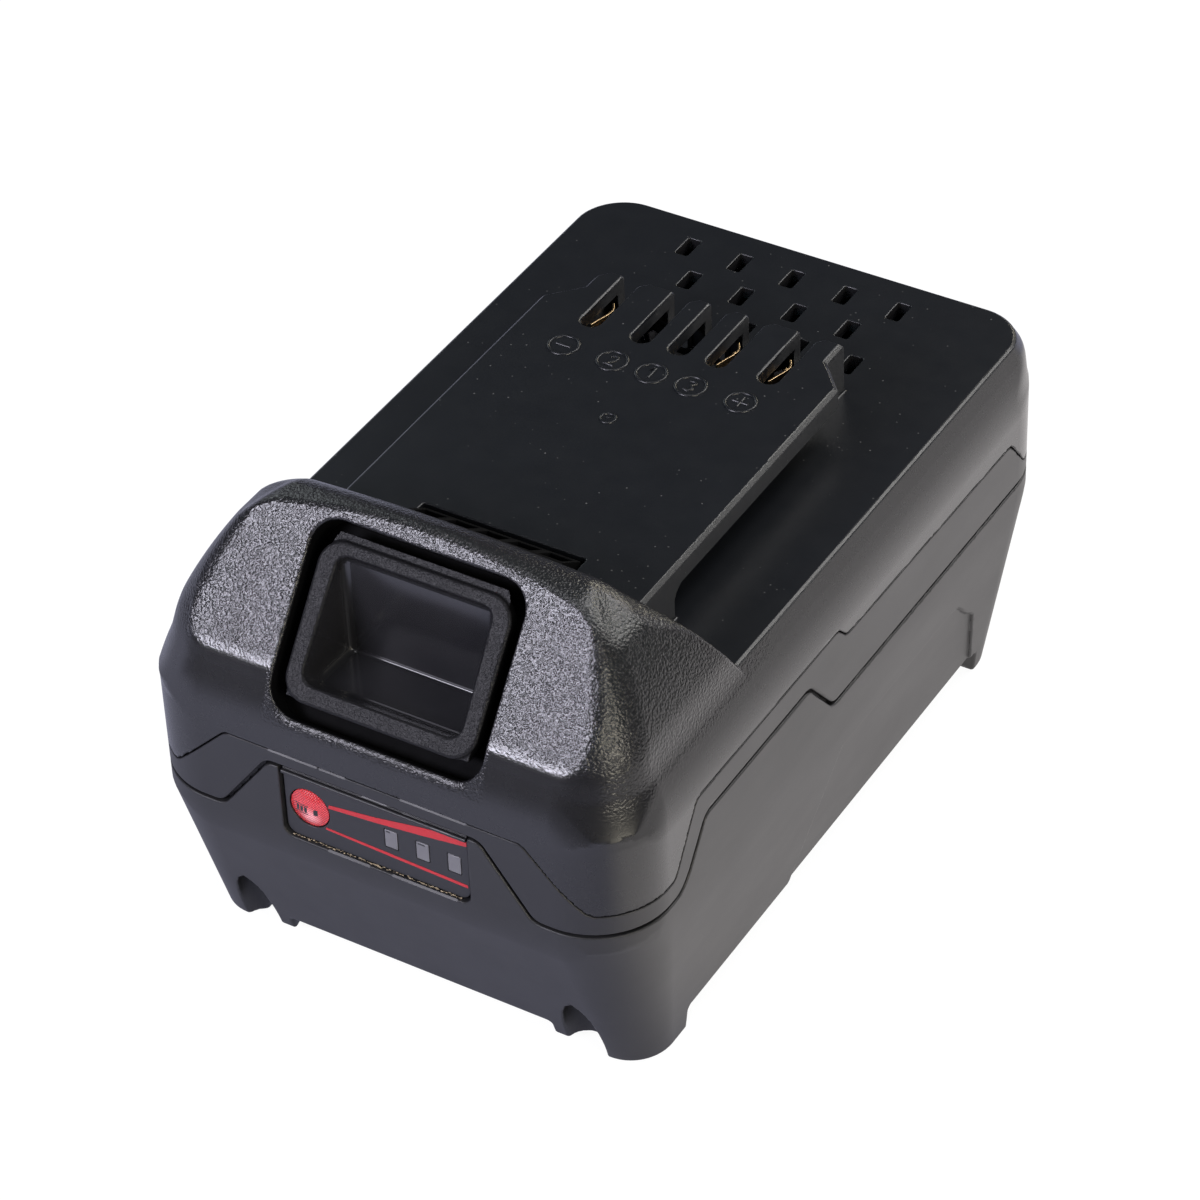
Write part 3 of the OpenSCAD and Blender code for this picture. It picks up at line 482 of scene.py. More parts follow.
def panel_form(p, m):
    """Gauge panel with openings for the push button and the lamps, and a lip along its top."""
    x, y, z = p.T
    plate = meet(panel(x, z, -14.2, 14.2, 28.6, 46, 1.6), between(y, 0.6, 2.4), 0.15)
    plate = meet(plate, z - 39.9, 0.1)
    lip = np.hypot(np.maximum(np.abs(y - 0.62) - 0.25, 0), np.maximum(np.abs(z - 39.32) - 0.02, 0)) - 0.3
    plate = join(plate, both(lip, np.abs(x) - 14.2), 0.1)
    plate = either(plate, both(np.abs(x) - 15.2, between(z, 27.3, 38.9), between(y, 2.3, 3.4)))
    plate = cut(plate, np.hypot(x - CAP_X, z - CAP_Z) - m.push_radius - 0.12, 0.12)
    return both(plate, *[-panel(x, z, at - 1.05, at + 1.05, 32.55, 35.65, 0.1) for at in LAMP_X])


def sample(form, points, m, most=300000):
    """Distances at many points, worked out in parts."""
    return np.concatenate([form(points[i : i + most], m) for i in range(0, len(points), most)])


def slope(form, points, m, reach=0.02):
    """Distance and direction of the form at each point."""
    found = np.zeros_like(points)
    total = np.zeros(len(points))
    for way in np.array([(1, -1, -1), (-1, -1, 1), (-1, 1, -1), (1, 1, 1)], float):
        d = sample(form, points + way * reach, m)
        found += d[:, None] * way
        total += d
    return total / 4, found / (4 * reach)


def drawn_in(form, points, m, most):
    """Points moved onto the surface of the form, by no more than most in each of three steps."""
    for _ in range(3):
        d, g = slope(form, points, m)
        move = np.clip(d / np.maximum((g * g).sum(1), 0.3), -most, most)
        points = points - move[:, None] * g
    return points


def lattice(*counts):
    """All whole places in a box of the given counts."""
    return np.stack(np.meshgrid(*[np.arange(c) for c in counts], indexing="ij"), -1).reshape(-1, 3)


BLOCK = 8
CORNERS = lattice(2, 2, 2)
EDGES = [(a, b) for a in range(8) for b in range(a + 1, 8) if np.abs(CORNERS[a] - CORNERS[b]).sum() == 1]


def skin(form, m, low, high, step):
    """Points and four-sided faces on the surface of a form, found on a lattice that is searched in blocks."""
    low = np.array(low, float) - 0.137 * step
    counts = np.ceil((np.array(high) - low) / (step * BLOCK)).astype(int) + 1
    blocks = lattice(*counts)
    middle = sample(form, low + (blocks + 0.5) * BLOCK * step, m)
    blocks = blocks[np.abs(middle) < BLOCK * step * 0.866 * 2.0]
    inner = lattice(*[BLOCK + 1] * 3)
    size = counts * BLOCK + 2
    pace = np.array([size[1] * size[2], size[2], 1])
    ids, points, rows = [], [], []
    for start in range(0, len(blocks), 400):
        part = blocks[start : start + 400] * BLOCK
        spots = (part[:, None, :] + inner).reshape(-1, 3)
        d = form(low + spots * step, m).reshape(len(part), *[BLOCK + 1] * 3)
        inside = d < 0
        count = sum(inside[:, i : i + BLOCK, j : j + BLOCK, k : k + BLOCK].astype(np.int8) for i, j, k in CORNERS)
        b, i, j, k = np.nonzero((count > 0) & (count < 8))
        if not len(b):
            continue
        value = np.stack([d[b, i + c[0], j + c[1], k + c[2]] for c in CORNERS], 1)
        total, number = np.zeros((len(b), 3)), np.zeros(len(b))
        for first, second in EDGES:
            va, vb = value[:, first], value[:, second]
            crossed = (va < 0) != (vb < 0)
            t = np.where(crossed, va / np.where(crossed, va - vb, 1), 0)
            spot = CORNERS[first] + t[:, None] * (CORNERS[second] - CORNERS[first])
            total += np.where(crossed[:, None], spot, 0)
            number += crossed
        place = part[b] + np.stack([i, j, k], 1)
        key = (place[:, 0] * size[1] + place[:, 1]) * size[2] + place[:, 2]
        ids.append(key)
        points.append(low + (place + total / number[:, None]) * step)
        for axis in range(3):
            crossed = (value[:, 0] < 0) != (value[:, 4 >> axis] < 0)
            right, up = pace[(axis + 1) % 3], pace[(axis + 2) % 3]
            at = key[crossed]
            quad = np.stack([at, at - right, at - right - up, at - up], 1)
            flip = value[crossed, 0] > 0
            quad[flip] = quad[flip][:, ::-1]
            rows.append(quad)
    ids, points, rows = np.concatenate(ids), np.concatenate(points), np.concatenate(rows)
    order = np.argsort(ids)
    ids, points = ids[order], points[order]
    found = np.searchsorted(ids, rows).clip(0, len(ids) - 1)
    faces = found[(ids[found] == rows).all(1)]
    return drawn_in(form, points, m, step), faces


def to_pack(points, m):
    """From millimetres measured from the front wall to metres in the pack's frame."""
    return (points - np.array([0, m.body_length / 2, 0])) * MM


def blank_mesh(name, points, faces):
    """A mesh of four-sided faces from arrays."""
    mesh = bpy.data.meshes.new(name)
    mesh.vertices.add(len(points))
    mesh.vertices.foreach_set("co", points.astype(np.float32).ravel())
    mesh.loops.add(faces.size)
    mesh.loops.foreach_set("vertex_index", faces.astype(np.int32).ravel())
    mesh.polygons.add(len(faces))
    mesh.polygons.foreach_set("loop_start", np.arange(0, faces.size, 4, dtype=np.int32))
    mesh.update(calc_edges=True)
    return mesh


def read(items, field, width=1, kind=float):
    """One field of all vertices, corners or faces of a mesh."""
    found = np.empty(len(items) * width, kind)
    items.foreach_get(field, found)
    return found.reshape(-1, width) if width > 1 else found


def refined(mesh, form, m, seen):
    """Splits the faces that bend across a tight edge and sets their new points on the form."""
    work = bmesh.new()
    work.from_mesh(mesh)
    co = np.array([v.co[:] for v in work.verts])
    way = unit(slope(form, co, m)[1])
    corners = np.array([[v.index for v in f.verts] for f in work.faces])
    mean = unit(way[corners].mean(1))
    bent = (way[corners] * mean[:, None, :]).sum(2).min(1) < math.cos(math.radians(11))
    if seen:
        bent &= seen(co[corners].mean(1), m)
    work.faces.ensure_lookup_table()
    edges = list({e for i in np.nonzero(bent)[0] for e in work.faces[i].edges})
    bmesh.ops.subdivide_edges(work, edges=edges, cuts=1, use_grid_fill=True)
    work.verts.ensure_lookup_table()
    added = work.verts[len(co) :]
    for v, place in zip(added, drawn_in(form, np.array([v.co[:] for v in added]), m, 0.3)):
        v.co = place
    return work


def placed(name, data):
    """A new object in the scene."""
    made = bpy.data.objects.new(name, data)
    bpy.context.scene.collection.objects.link(made)
    return made


def moulded(name, form, low, high, step, choose=None, seen=None):
    """A moulded piece: its surface, with flat areas merged and the normals of the form itself."""
    m = measures()
    mesh = blank_mesh(name, *skin(form, m, low, high, step))
    work = refined(mesh, form, m, seen)
    work.to_mesh(mesh)
    if choose:
        picked = choose(read(mesh.polygons, "center", 3), read(mesh.polygons, "normal", 3), m)
        for face, index in zip(work.faces, picked.tolist()):
            face.material_index = int(index)
    bmesh.ops.dissolve_limit(
        work,
        angle_limit=math.radians(0.04),
        use_dissolve_boundaries=False,
        verts=work.verts[:],
        edges=work.edges[:],
        delimit={"MATERIAL"},
    )
    work.to_mesh(mesh)
    work.free()
    co = read(mesh.vertices, "co", 3)
    area, normal = read(mesh.polygons, "area"), read(mesh.polygons, "normal", 3)
    corner = read(mesh.loops, "vertex_index", kind=np.int32)
    face_of = np.repeat(np.arange(len(area)), read(mesh.polygons, "loop_total", kind=np.int32))
    large = area > 4 * step * step
    order = np.argsort(area[face_of], kind="stable")
    order = order[large[face_of[order]]]
    flat = unit(slope(form, co, m)[1])
    flat[corner[order]] = normal[face_of[order]]
    turned = np.where(large[face_of][:, None], normal[face_of], flat[corner])
    inside = np.clip(to_pack(co, m), CAD_BOX[0], CAD_BOX[1])
    mesh.vertices.foreach_set("co", inside.astype(np.float32).ravel())
    mesh.polygons.foreach_set("use_smooth", np.ones(len(area), bool))
    mesh.normals_split_custom_set(turned.tolist())
    mesh.update()
    return placed(name, mesh)


def as_piece(name, work, smooth=None):
    """Turns millimetre geometry into a piece of the pack."""
    bmesh.ops.recalc_face_normals(work, faces=work.faces[:])
    mesh = bpy.data.meshes.new(name)
    work.to_mesh(mesh)
    work.free()
    to_middle = Matrix.Translation((0, -measures().body_length / 2, 0))
    mesh.transform(Matrix.Diagonal((MM, MM, MM, 1)) @ to_middle)
    if smooth is not None:
        mesh.polygons.foreach_set("use_smooth", np.ones(len(mesh.polygons), bool))
        mesh.set_sharp_from_angle(angle=math.radians(smooth))
    return placed(name, mesh)


def settle(piece, body, slot, *nodes):
    """Puts a piece on its body in place of the plain solids it stands for."""
    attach(piece, body)
    if nodes:
        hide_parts(*nodes)
    return piece


def soften(piece, width, angle=30):
    """Rounds the edges of a piece a little."""
    edge = piece.modifiers.new("edge", "BEVEL")
    edge.width = width
    edge.segments = 2
    edge.limit_method = "ANGLE"
    edge.angle_limit = math.radians(angle)


def loft(work, rings, ends=(0, -1), loop=False):
    """Faces between rings of points, with the rings at the ends filled; a loop joins the last ring to the first."""
    rings = [[work.verts.new(point) for point in ring] for ring in rings]
    for a, b in zip(rings, rings[1:] + rings[:loop]):
        for i in range(len(a)):
            j = (i + 1) % len(a)
            work.faces.new((a[i], a[j], b[j], b[i]))
    for end in ends:
        work.faces.new(rings[end])
    return rings


def circle(count):
    """Directions evenly spread round a circle."""
    return [(math.cos(a), math.sin(a)) for a in (2 * math.pi * i / count for i in range(count))]


def flat_piece(name, outlines, y0, y1):
    """Thin printed shapes drawn in x and z, from depth y0 to y1."""
    work = bmesh.new()
    for outline in outlines:
        loft(work, [[(x, y, z) for x, z in outline] for y in (y0, y1)])
    return as_piece(name, work)


class Nodes:
    """Short ways to add shader nodes to a tree."""

    def __init__(self, tree):
        self.tree = tree

    def node(self, kind, inputs=None, **settings):
        """A new node with its settings, and its inputs set or linked."""
        made = self.tree.nodes.new("ShaderNode" + kind)
        for name, value in settings.items():
            setattr(made, name, value)
        for name, value in (inputs or {}).items():
            self.feed(made.inputs[name], value)
        return made

    def feed(self, socket, value):
        """Sets a socket to a value, or links it to an output."""
        if isinstance(value, bpy.types.NodeSocket):
            self.tree.links.new(value, socket)
        else:
            socket.default_value = value

    def maths(self, operation, a, b=0.0):
        return self.node("Math", {0: a, 1: b}, operation=operation).outputs[0]

    def mix(self, fac, a, b):
        """A colour between two others."""
        return self.node("Mix", {"A": a, "B": b, "Factor": fac}, data_type="RGBA").outputs["Result"]

    def ramp(self, value, low, high, out_low=0.0, out_high=1.0):
        """Spreads a value from low to high over a new span."""
        span = {"From Min": low, "From Max": high, "To Min": out_low, "To Max": out_high, "Value": value}
        return self.node("MapRange", span, interpolation_type="SMOOTHSTEP").outputs["Result"]

    def bands(self, value, tones, tint):
        """A tinted tone that follows a value through the given stops."""
        made = self.node("ValToRGB", {"Fac": value})
        made.color_ramp.interpolation = "EASE"
        for at, _ in tones[1:-1]:
            made.color_ramp.elements.new(at)
        for stop, (_, level) in zip(made.color_ramp.elements, tones):
            stop.color = (*[level * part for part in tint], 1.0)
        return made.outputs["Color"]


def scaled(tone, by):
    """A tint made lighter or darker."""
    return (*[min(1.0, v * by) for v in tone[:3]], 1.0)


class Finish(Nodes):
    """A surface finish built from nodes, measured in the pack's own space, with grit, clouds of colour and gloss."""

    def __init__(self, name, base, rough, grit=None, clouds=None, gloss=None, **sockets):
        self.material = bpy.data.materials.new(name)
        self.material.use_nodes = True
        super().__init__(self.material.node_tree)
        self.surface = self.tree.nodes["Principled BSDF"]
        for socket, value in {"Base_Color": base, "Roughness": rough, **sockets}.items():
            self.surface.inputs[socket.replace("_", " ")].default_value = value
        self.base = base
        self.place = self.node("TexCoord").outputs["Object"]
        if grit:
            self.grit(*grit)
        if clouds:
            self.clouds(*clouds)
        if gloss:
            self.gloss(*gloss)

    def axis(self, name):
        """One coordinate of the place, in metres."""
        return self.node("SeparateXYZ", {0: self.place}).outputs[name]

    def noise(self, scale, detail=2.0, rough=0.5, stretch=None):
        """Cloudy pattern with a given number of waves per metre."""
        place = self.place
        if stretch:
            place = self.node("Mapping", {"Scale": stretch, "Vector": place}).outputs["Vector"]
        inputs = {"Scale": scale, "Detail": detail, "Roughness": rough, "Vector": place}
        return self.node("TexNoise", inputs).outputs["Fac"]

    def cells(self, scale, feature="F1", wobble=0.0):
        """Cell pattern with a given number of cells per metre."""
        place = self.place
        if wobble:
            bend = self.node("TexNoise", {"Scale": scale * 0.8, "Vector": place}).outputs["Color"]
            shift = {0: bend, 1: (wobble, wobble, wobble), 2: place}
            place = self.node("VectorMath", shift, operation="MULTIPLY_ADD").outputs[0]
        return self.node("TexVoronoi", {"Scale": scale, "Vector": place}, feature=feature).outputs["Distance"]

    def shade(self, fac, high, low=None):
        """Tints the surface by a pattern, over the colour it has so far."""
        socket = self.surface.inputs["Base Color"]
        before = socket.links[0].from_socket if socket.links else low
        self.feed(socket, self.mix(fac, before, high))

    def clouds(self, dark, light, *pattern):
        """Darker and lighter clouds of the base colour."""
        self.shade(self.noise(*pattern), scaled(self.base, light), scaled(self.base, dark))

    def rougher(self, fac, low, high):
        """Spreads the roughness between two values."""
        made = self.node("MapRange", {"To Min": low, "To Max": high, "Value": fac})
        self.feed(self.surface.inputs["Roughness"], made.outputs["Result"])

    def gloss(self, low, high, *pattern):
        """Clouds in the roughness."""
        self.rougher(self.noise(*pattern), low, high)

    def bump(self, height, distance, strength):
        """Raises the surface by a height pattern, in metres, over the bumps it has so far."""
        made = self.node("Bump", {"Distance": distance, "Strength": strength, "Height": height})
        socket = self.surface.inputs["Normal"]
        if socket.links:
            self.feed(made.inputs["Normal"], socket.links[0].from_socket)
        self.feed(socket, made.outputs["Normal"])

    def grit(self, scale, distance, strength=0.6, detail=2.0):
        """Fine bumps."""
        self.bump(self.noise(scale, detail), distance, strength)


def grained_plastic(name, level, depth, gloss):
    """Upper housing: leather grain on the nose, smooth satin below and behind it."""
    f = Finish(name, colour("housing"), 0.36, Specular_IOR_Level=level)
    grain = 1 / bpy.context.scene.pack_sizes.grain
    height, aside = f.axis("Z"), f.maths("ABSOLUTE", f.axis("X"))
    lip = f.maths("MULTIPLY", f.ramp(aside, 0.0172, 0.0164), f.ramp(height, 0.0464, 0.0469))
    flank = f.maths("MULTIPLY", f.ramp(aside, 0.031, 0.0345), f.ramp(height, 0.0465, 0.0525))
    area = f.maths("MAXIMUM", f.ramp(height, 0.0529, 0.0552), f.maths("MAXIMUM", lip, flank))
    mask = f.maths("MULTIPLY", area, f.ramp(f.axis("Y"), -0.034, -0.012, 1.0, 0.0))
    pebbles = f.ramp(f.cells(grain, "SMOOTH_F1", 0.0003), 0.05, 0.75, 1.0, 0.0)
    fine = f.maths("MULTIPLY", f.noise(grain * 1.9, 3.0, 0.6), 0.7)
    f.bump(f.maths("ADD", pebbles, fine), depth, mask)
    f.grit(9000, 0.000005)
    f.clouds(0.86, 1.16, 140, 4.0, 0.6)
    worn = f.maths("MULTIPLY", f.noise(300, 4.0, 0.6), 0.5)
    f.rougher(f.maths("ADD", worn, f.maths("MULTIPLY", mask, -0.5)), gloss, 0.34)
    return f.material


def painted_gap_shade():
    """Painted shade for walls that stand deep in a gap: a dull black, darker than the plastic they are made of."""
    base, clouds, gloss = (0.003, 0.003, 0.0034, 1.0), (0.8, 1.2, 400, 3.0), (0.6, 0.8, 500, 3.0)
    return Finish("gap_black_painted_shade", base, 0.7, (3000, 0.00001), clouds, gloss, Specular_IOR_Level=0.06).material


def deck_plastic():
    """Deck and rail: very dark fine satin with a little dust."""
    grit, clouds, gloss = (4200, 0.000008, 0.6, 3.0), (0.85, 1.2, 170, 5.0, 0.65), (0.30, 0.40, 260, 4.0, 0.6)
    f = Finish("deck_satin", colour("deck"), 0.34, grit, clouds, gloss, Specular_IOR_Level=0.42)
    dust = f.maths("MULTIPLY", f.ramp(f.cells(620), 0.10, 0.04), f.ramp(f.noise(110), 0.46, 0.58))
    f.shade(dust, (0.10, 0.10, 0.098, 1.0))
    return f.material


def satin_plastic(name, base, rough):
    """Smooth satin walls with faint handling marks."""
    clouds = (0.9, 1.12, 60, 5.0, 0.6)
    gloss = (rough - 0.05, rough + 0.06, 150, 5.0, 0.6, (1.0, 0.35, 1.0))
    f = Finish(name, base, rough, (6500, 0.000006), clouds, gloss)
    f.grit(120, 0.00004, 0.25, 3.0)
    f.shade(f.ramp(f.noise(1400), 0.7, 0.8), scaled(base, 1.7))
    return f.material


def rim_plastic():
    """Rim of the release button: fine sparkling grain."""
    clouds, gloss = (0.85, 1.2, 400, 3.0), (0.30, 0.42, 500, 3.0)
    f = Finish("rim_grain", colour("button"), 0.36, None, clouds, gloss, Specular_IOR_Level=0.13)
    grains = f.ramp(f.cells(3300, "SMOOTH_F1", 0.0002), 0.05, 0.8, 1.0, 0.0)
    f.bump(f.maths("ADD", grains, f.noise(5200)), 0.00005, 0.9)
    return f.material


def tub_plastic():
    """Finger tub: glossy near-black with faint wipe marks."""
    base, clouds = scaled(colour("button"), 1.5), (5 / 6, 7 / 6, 200, 4.0)
    gloss = (0.10, 0.22, 90, 4.0, 0.6, (1, 1, 0.3))
    return Finish("tub_gloss", base, 0.16, (900, 0.000003, 0.5), clouds, gloss).material


def film():
    """Film on the gauge panel."""
    clouds, gloss = (0.9, 1.12, 220, 4.0), (0.36, 0.44, 500, 3.0)
    return Finish("gauge_film", colour("film"), 0.4, (5200, 0.000005, 0.5), clouds, gloss).material


def red_print():
    """Red print on the film."""
    clouds, gloss = (0.88, 1.06, 700, 3.0), (0.38, 0.46, 600, 3.0)
    return Finish("red_print", colour("red"), 0.42, (5200, 0.000004, 0.5), clouds, gloss).material


def red_lens():
    """Clear red cap of the push button, finely chequered on its inside, with a painted highlight: a soft pale spot
    below and right of its middle.
    """
    base = scaled(colour("red"), 1.1)
    f = Finish("red_cap", base, 0.22, gloss=(0.18, 0.28, 900), Coat_Weight=0.6, Coat_Roughness=0.08)
    waves = [f.maths("SINE", f.maths("MULTIPLY", f.axis(axis), 2 * math.pi / 0.00038)) for axis in "XZ"]
    lines = f.maths("MULTIPLY", *waves)
    f.bump(lines, 0.00004, 0.5)
    f.shade(f.ramp(lines, -0.2, 0.9), (0.85, 0.06, 0.06, 1.0), scaled(base, 0.8))
    # Painted highlight: a pale spot on the cap, lighter along the chequer lines.
    offsets = [f.maths("SUBTRACT", f.axis(axis), at) for axis, at in (("X", -0.0100), ("Z", 0.0332))]
    far = f.maths("SQRT", f.maths("ADD", *[f.maths("MULTIPLY", way, way) for way in offsets]))
    spot = f.maths("MULTIPLY", f.ramp(far, 0.0019, 0.0002), f.ramp(lines, -0.6, 0.6, 0.35, 1.0))
    f.shade(spot, (0.95, 0.40, 0.42, 1.0))
    return f.material


def plain(name, base, rough, scale=300.0, spread=0.12, bump=0.000004):
    """A simple finish with slight clouds in its colour and gloss."""
    clouds = (1 - spread, 1 + spread, scale, 4.0, 0.6)
    gloss = (max(0.05, rough - 0.06), rough + 0.06, scale * 2.3, 3.0)
    return Finish(name, (*base[:3], 1.0), rough, (scale * 12, bump), clouds, gloss).material


def brushed(name, base, rough, along):
    """Rolled metal with fine lines along one axis."""
    f = Finish(name, (*base[:3], 1.0), rough, Metallic=1.0)
    lines = f.noise(900, 3.0, 0.6, along)
    f.shade(lines, scaled(base, 1.1), scaled(base, 0.8))
    f.rougher(lines, rough - 0.08, rough + 0.1)
    f.bump(lines, 0.000008, 0.5)
    return f.material


def on_rail(middle, m):
    """Whether a face belongs to the rail or the deck rather than to the grained nose and shoulders."""
    rail = rail_form(middle, m)
    nose = nose_form(middle, m)
    deck = np.abs(middle[:, 2] - m.deck_height)
    return (rail < np.minimum(nose, deck_form(middle, m)) - 0.05) | ((deck < 0.5) & (nose > 0.12))


class PACK_OT_upper_housing(bpy.types.Operator):
    """Moulds the upper housing with its nose, deck and rail, and the smooth band below its fine line"""

    bl_idname = "pack.upper_housing"
    bl_label = "Upper housing"

    def execute(self, context):
        def choose(middle, normal, m):
            dark = on_rail(middle, m) & ((normal[:, 2] > 0.3) | (rail_form(middle, m) < 0.2))
            deep = -0.45 - 0.7 * ease((1.6 - face_place(middle, m)[0]) / 2.4)
            # Faces deep in the button opening get the painted gap shade.
            in_painted_shade = (button_hole(middle, m) < 0.4) & (upper_outside(middle, m)[0] < deep)
            face = (face_place(middle, m)[1] > -0.4) & (nose_form(middle, m) > -0.1)
            return np.where(in_painted_shade, 2, np.where(face & ~dark, 3, dark))

        def seen(middle, m):
            return upper_outside(middle, m)[1] > -1.0

        shell = moulded("housing_shell", shell_form, (-38.6, -0.6, 29), (38.6, 122.6, 73.4), 0.46, choose, seen)
        # The last of these finishes is the painted gap shade.
        finishes = [grained_plastic("housing_grain", 0.48, 0.00005, 0.25), deck_plastic(), painted_gap_shade()]
        for finish in finishes + [grained_plastic("face_grain", 0.7, 0.00006, 0.2)]:
            shell.data.materials.append(finish)
        settle(shell, "pack", "housing_plastic", "upper_housing")
        band = moulded("housing_band", band_form, (-38.6, -0.6, 29), (38.6, 122.6, 44), 0.4)
        band.data.materials.append(satin_plastic("band_satin", scaled(colour("housing"), 1.15), 0.44))
        settle(band, "pack", "housing_plastic", "upper_housing")
        return {"FINISHED"}


class PACK_OT_tray(bpy.types.Operator):
    """Moulds the lower tray with its feet, screw rings and side panels"""

    bl_idname = "pack.tray"
    bl_label = "Lower tray"

    def execute(self, context):
        def seen(middle, m):
            return tray_outside(middle, m)[1] > -0.9

        tray = moulded("tray_shell", tray_form, (-38.6, -0.6, -0.6), (38.6, 122.6, 42.5), 0.5, None, seen)
        tray.data.materials.append(satin_plastic("tray_satin", colour("tray"), 0.46))
        settle(tray, "pack", "tray_plastic", "lower_tray")
        return {"FINISHED"}


class PACK_OT_release_button(bpy.types.Operator):
    """Moulds the release button with its rim, finger tub, arm and latch hook"""

    bl_idname = "pack.release_button"
    bl_label = "Release button"

    def execute(self, context):
        def choose(middle, normal, m):
            _, out = face_place(middle, m)
            up = FACE_COS * normal[:, 2] - FACE_SIN * normal[:, 1]
            hollow = np.maximum(*tub_form(middle, 0.25, 0.25))
            # Faces neither on the rim's front nor in the tub, such as the skirt, arm and outer walls, get the painted
            # gap shade.
            return np.where((out > -1.8) & (up > 0.2), 0, np.where(hollow < 0, 1, 2))

        button = moulded("release_button_body", button_form, (-18.6, 0, 40), (18.6, 35, 72), 0.3, choose)
        # The third finish is the painted gap shade.
        for finish in (rim_plastic(), tub_plastic(), bpy.data.materials["gap_black_painted_shade"]):
            button.data.materials.append(finish)
        settle(button, "release", "button_plastic", "release_button")
        return {"FINISHED"}


def curve_between(points, steps=10):
    """Points on a smooth line through the given ones."""
    p = np.array([points[0], *points, points[-1]], float)
    found = []
    for i in range(1, len(p) - 2):
        for t in np.linspace(0, 1, steps, endpoint=False):
            a, b, c, d = p[i - 1 : i + 3]
            found.append(
                0.5 * (2 * b + (c - a) * t + (2 * a - 5 * b + 4 * c - d) * t * t + (3 * b - a - 3 * c + d) * t**3)
            )
    return np.array(found + [p[-2]])


def dome_depth(r):
    """How far the cap's surface lies behind its top at radius r."""
    return DOME_R - math.sqrt(DOME_R * DOME_R - r * r)


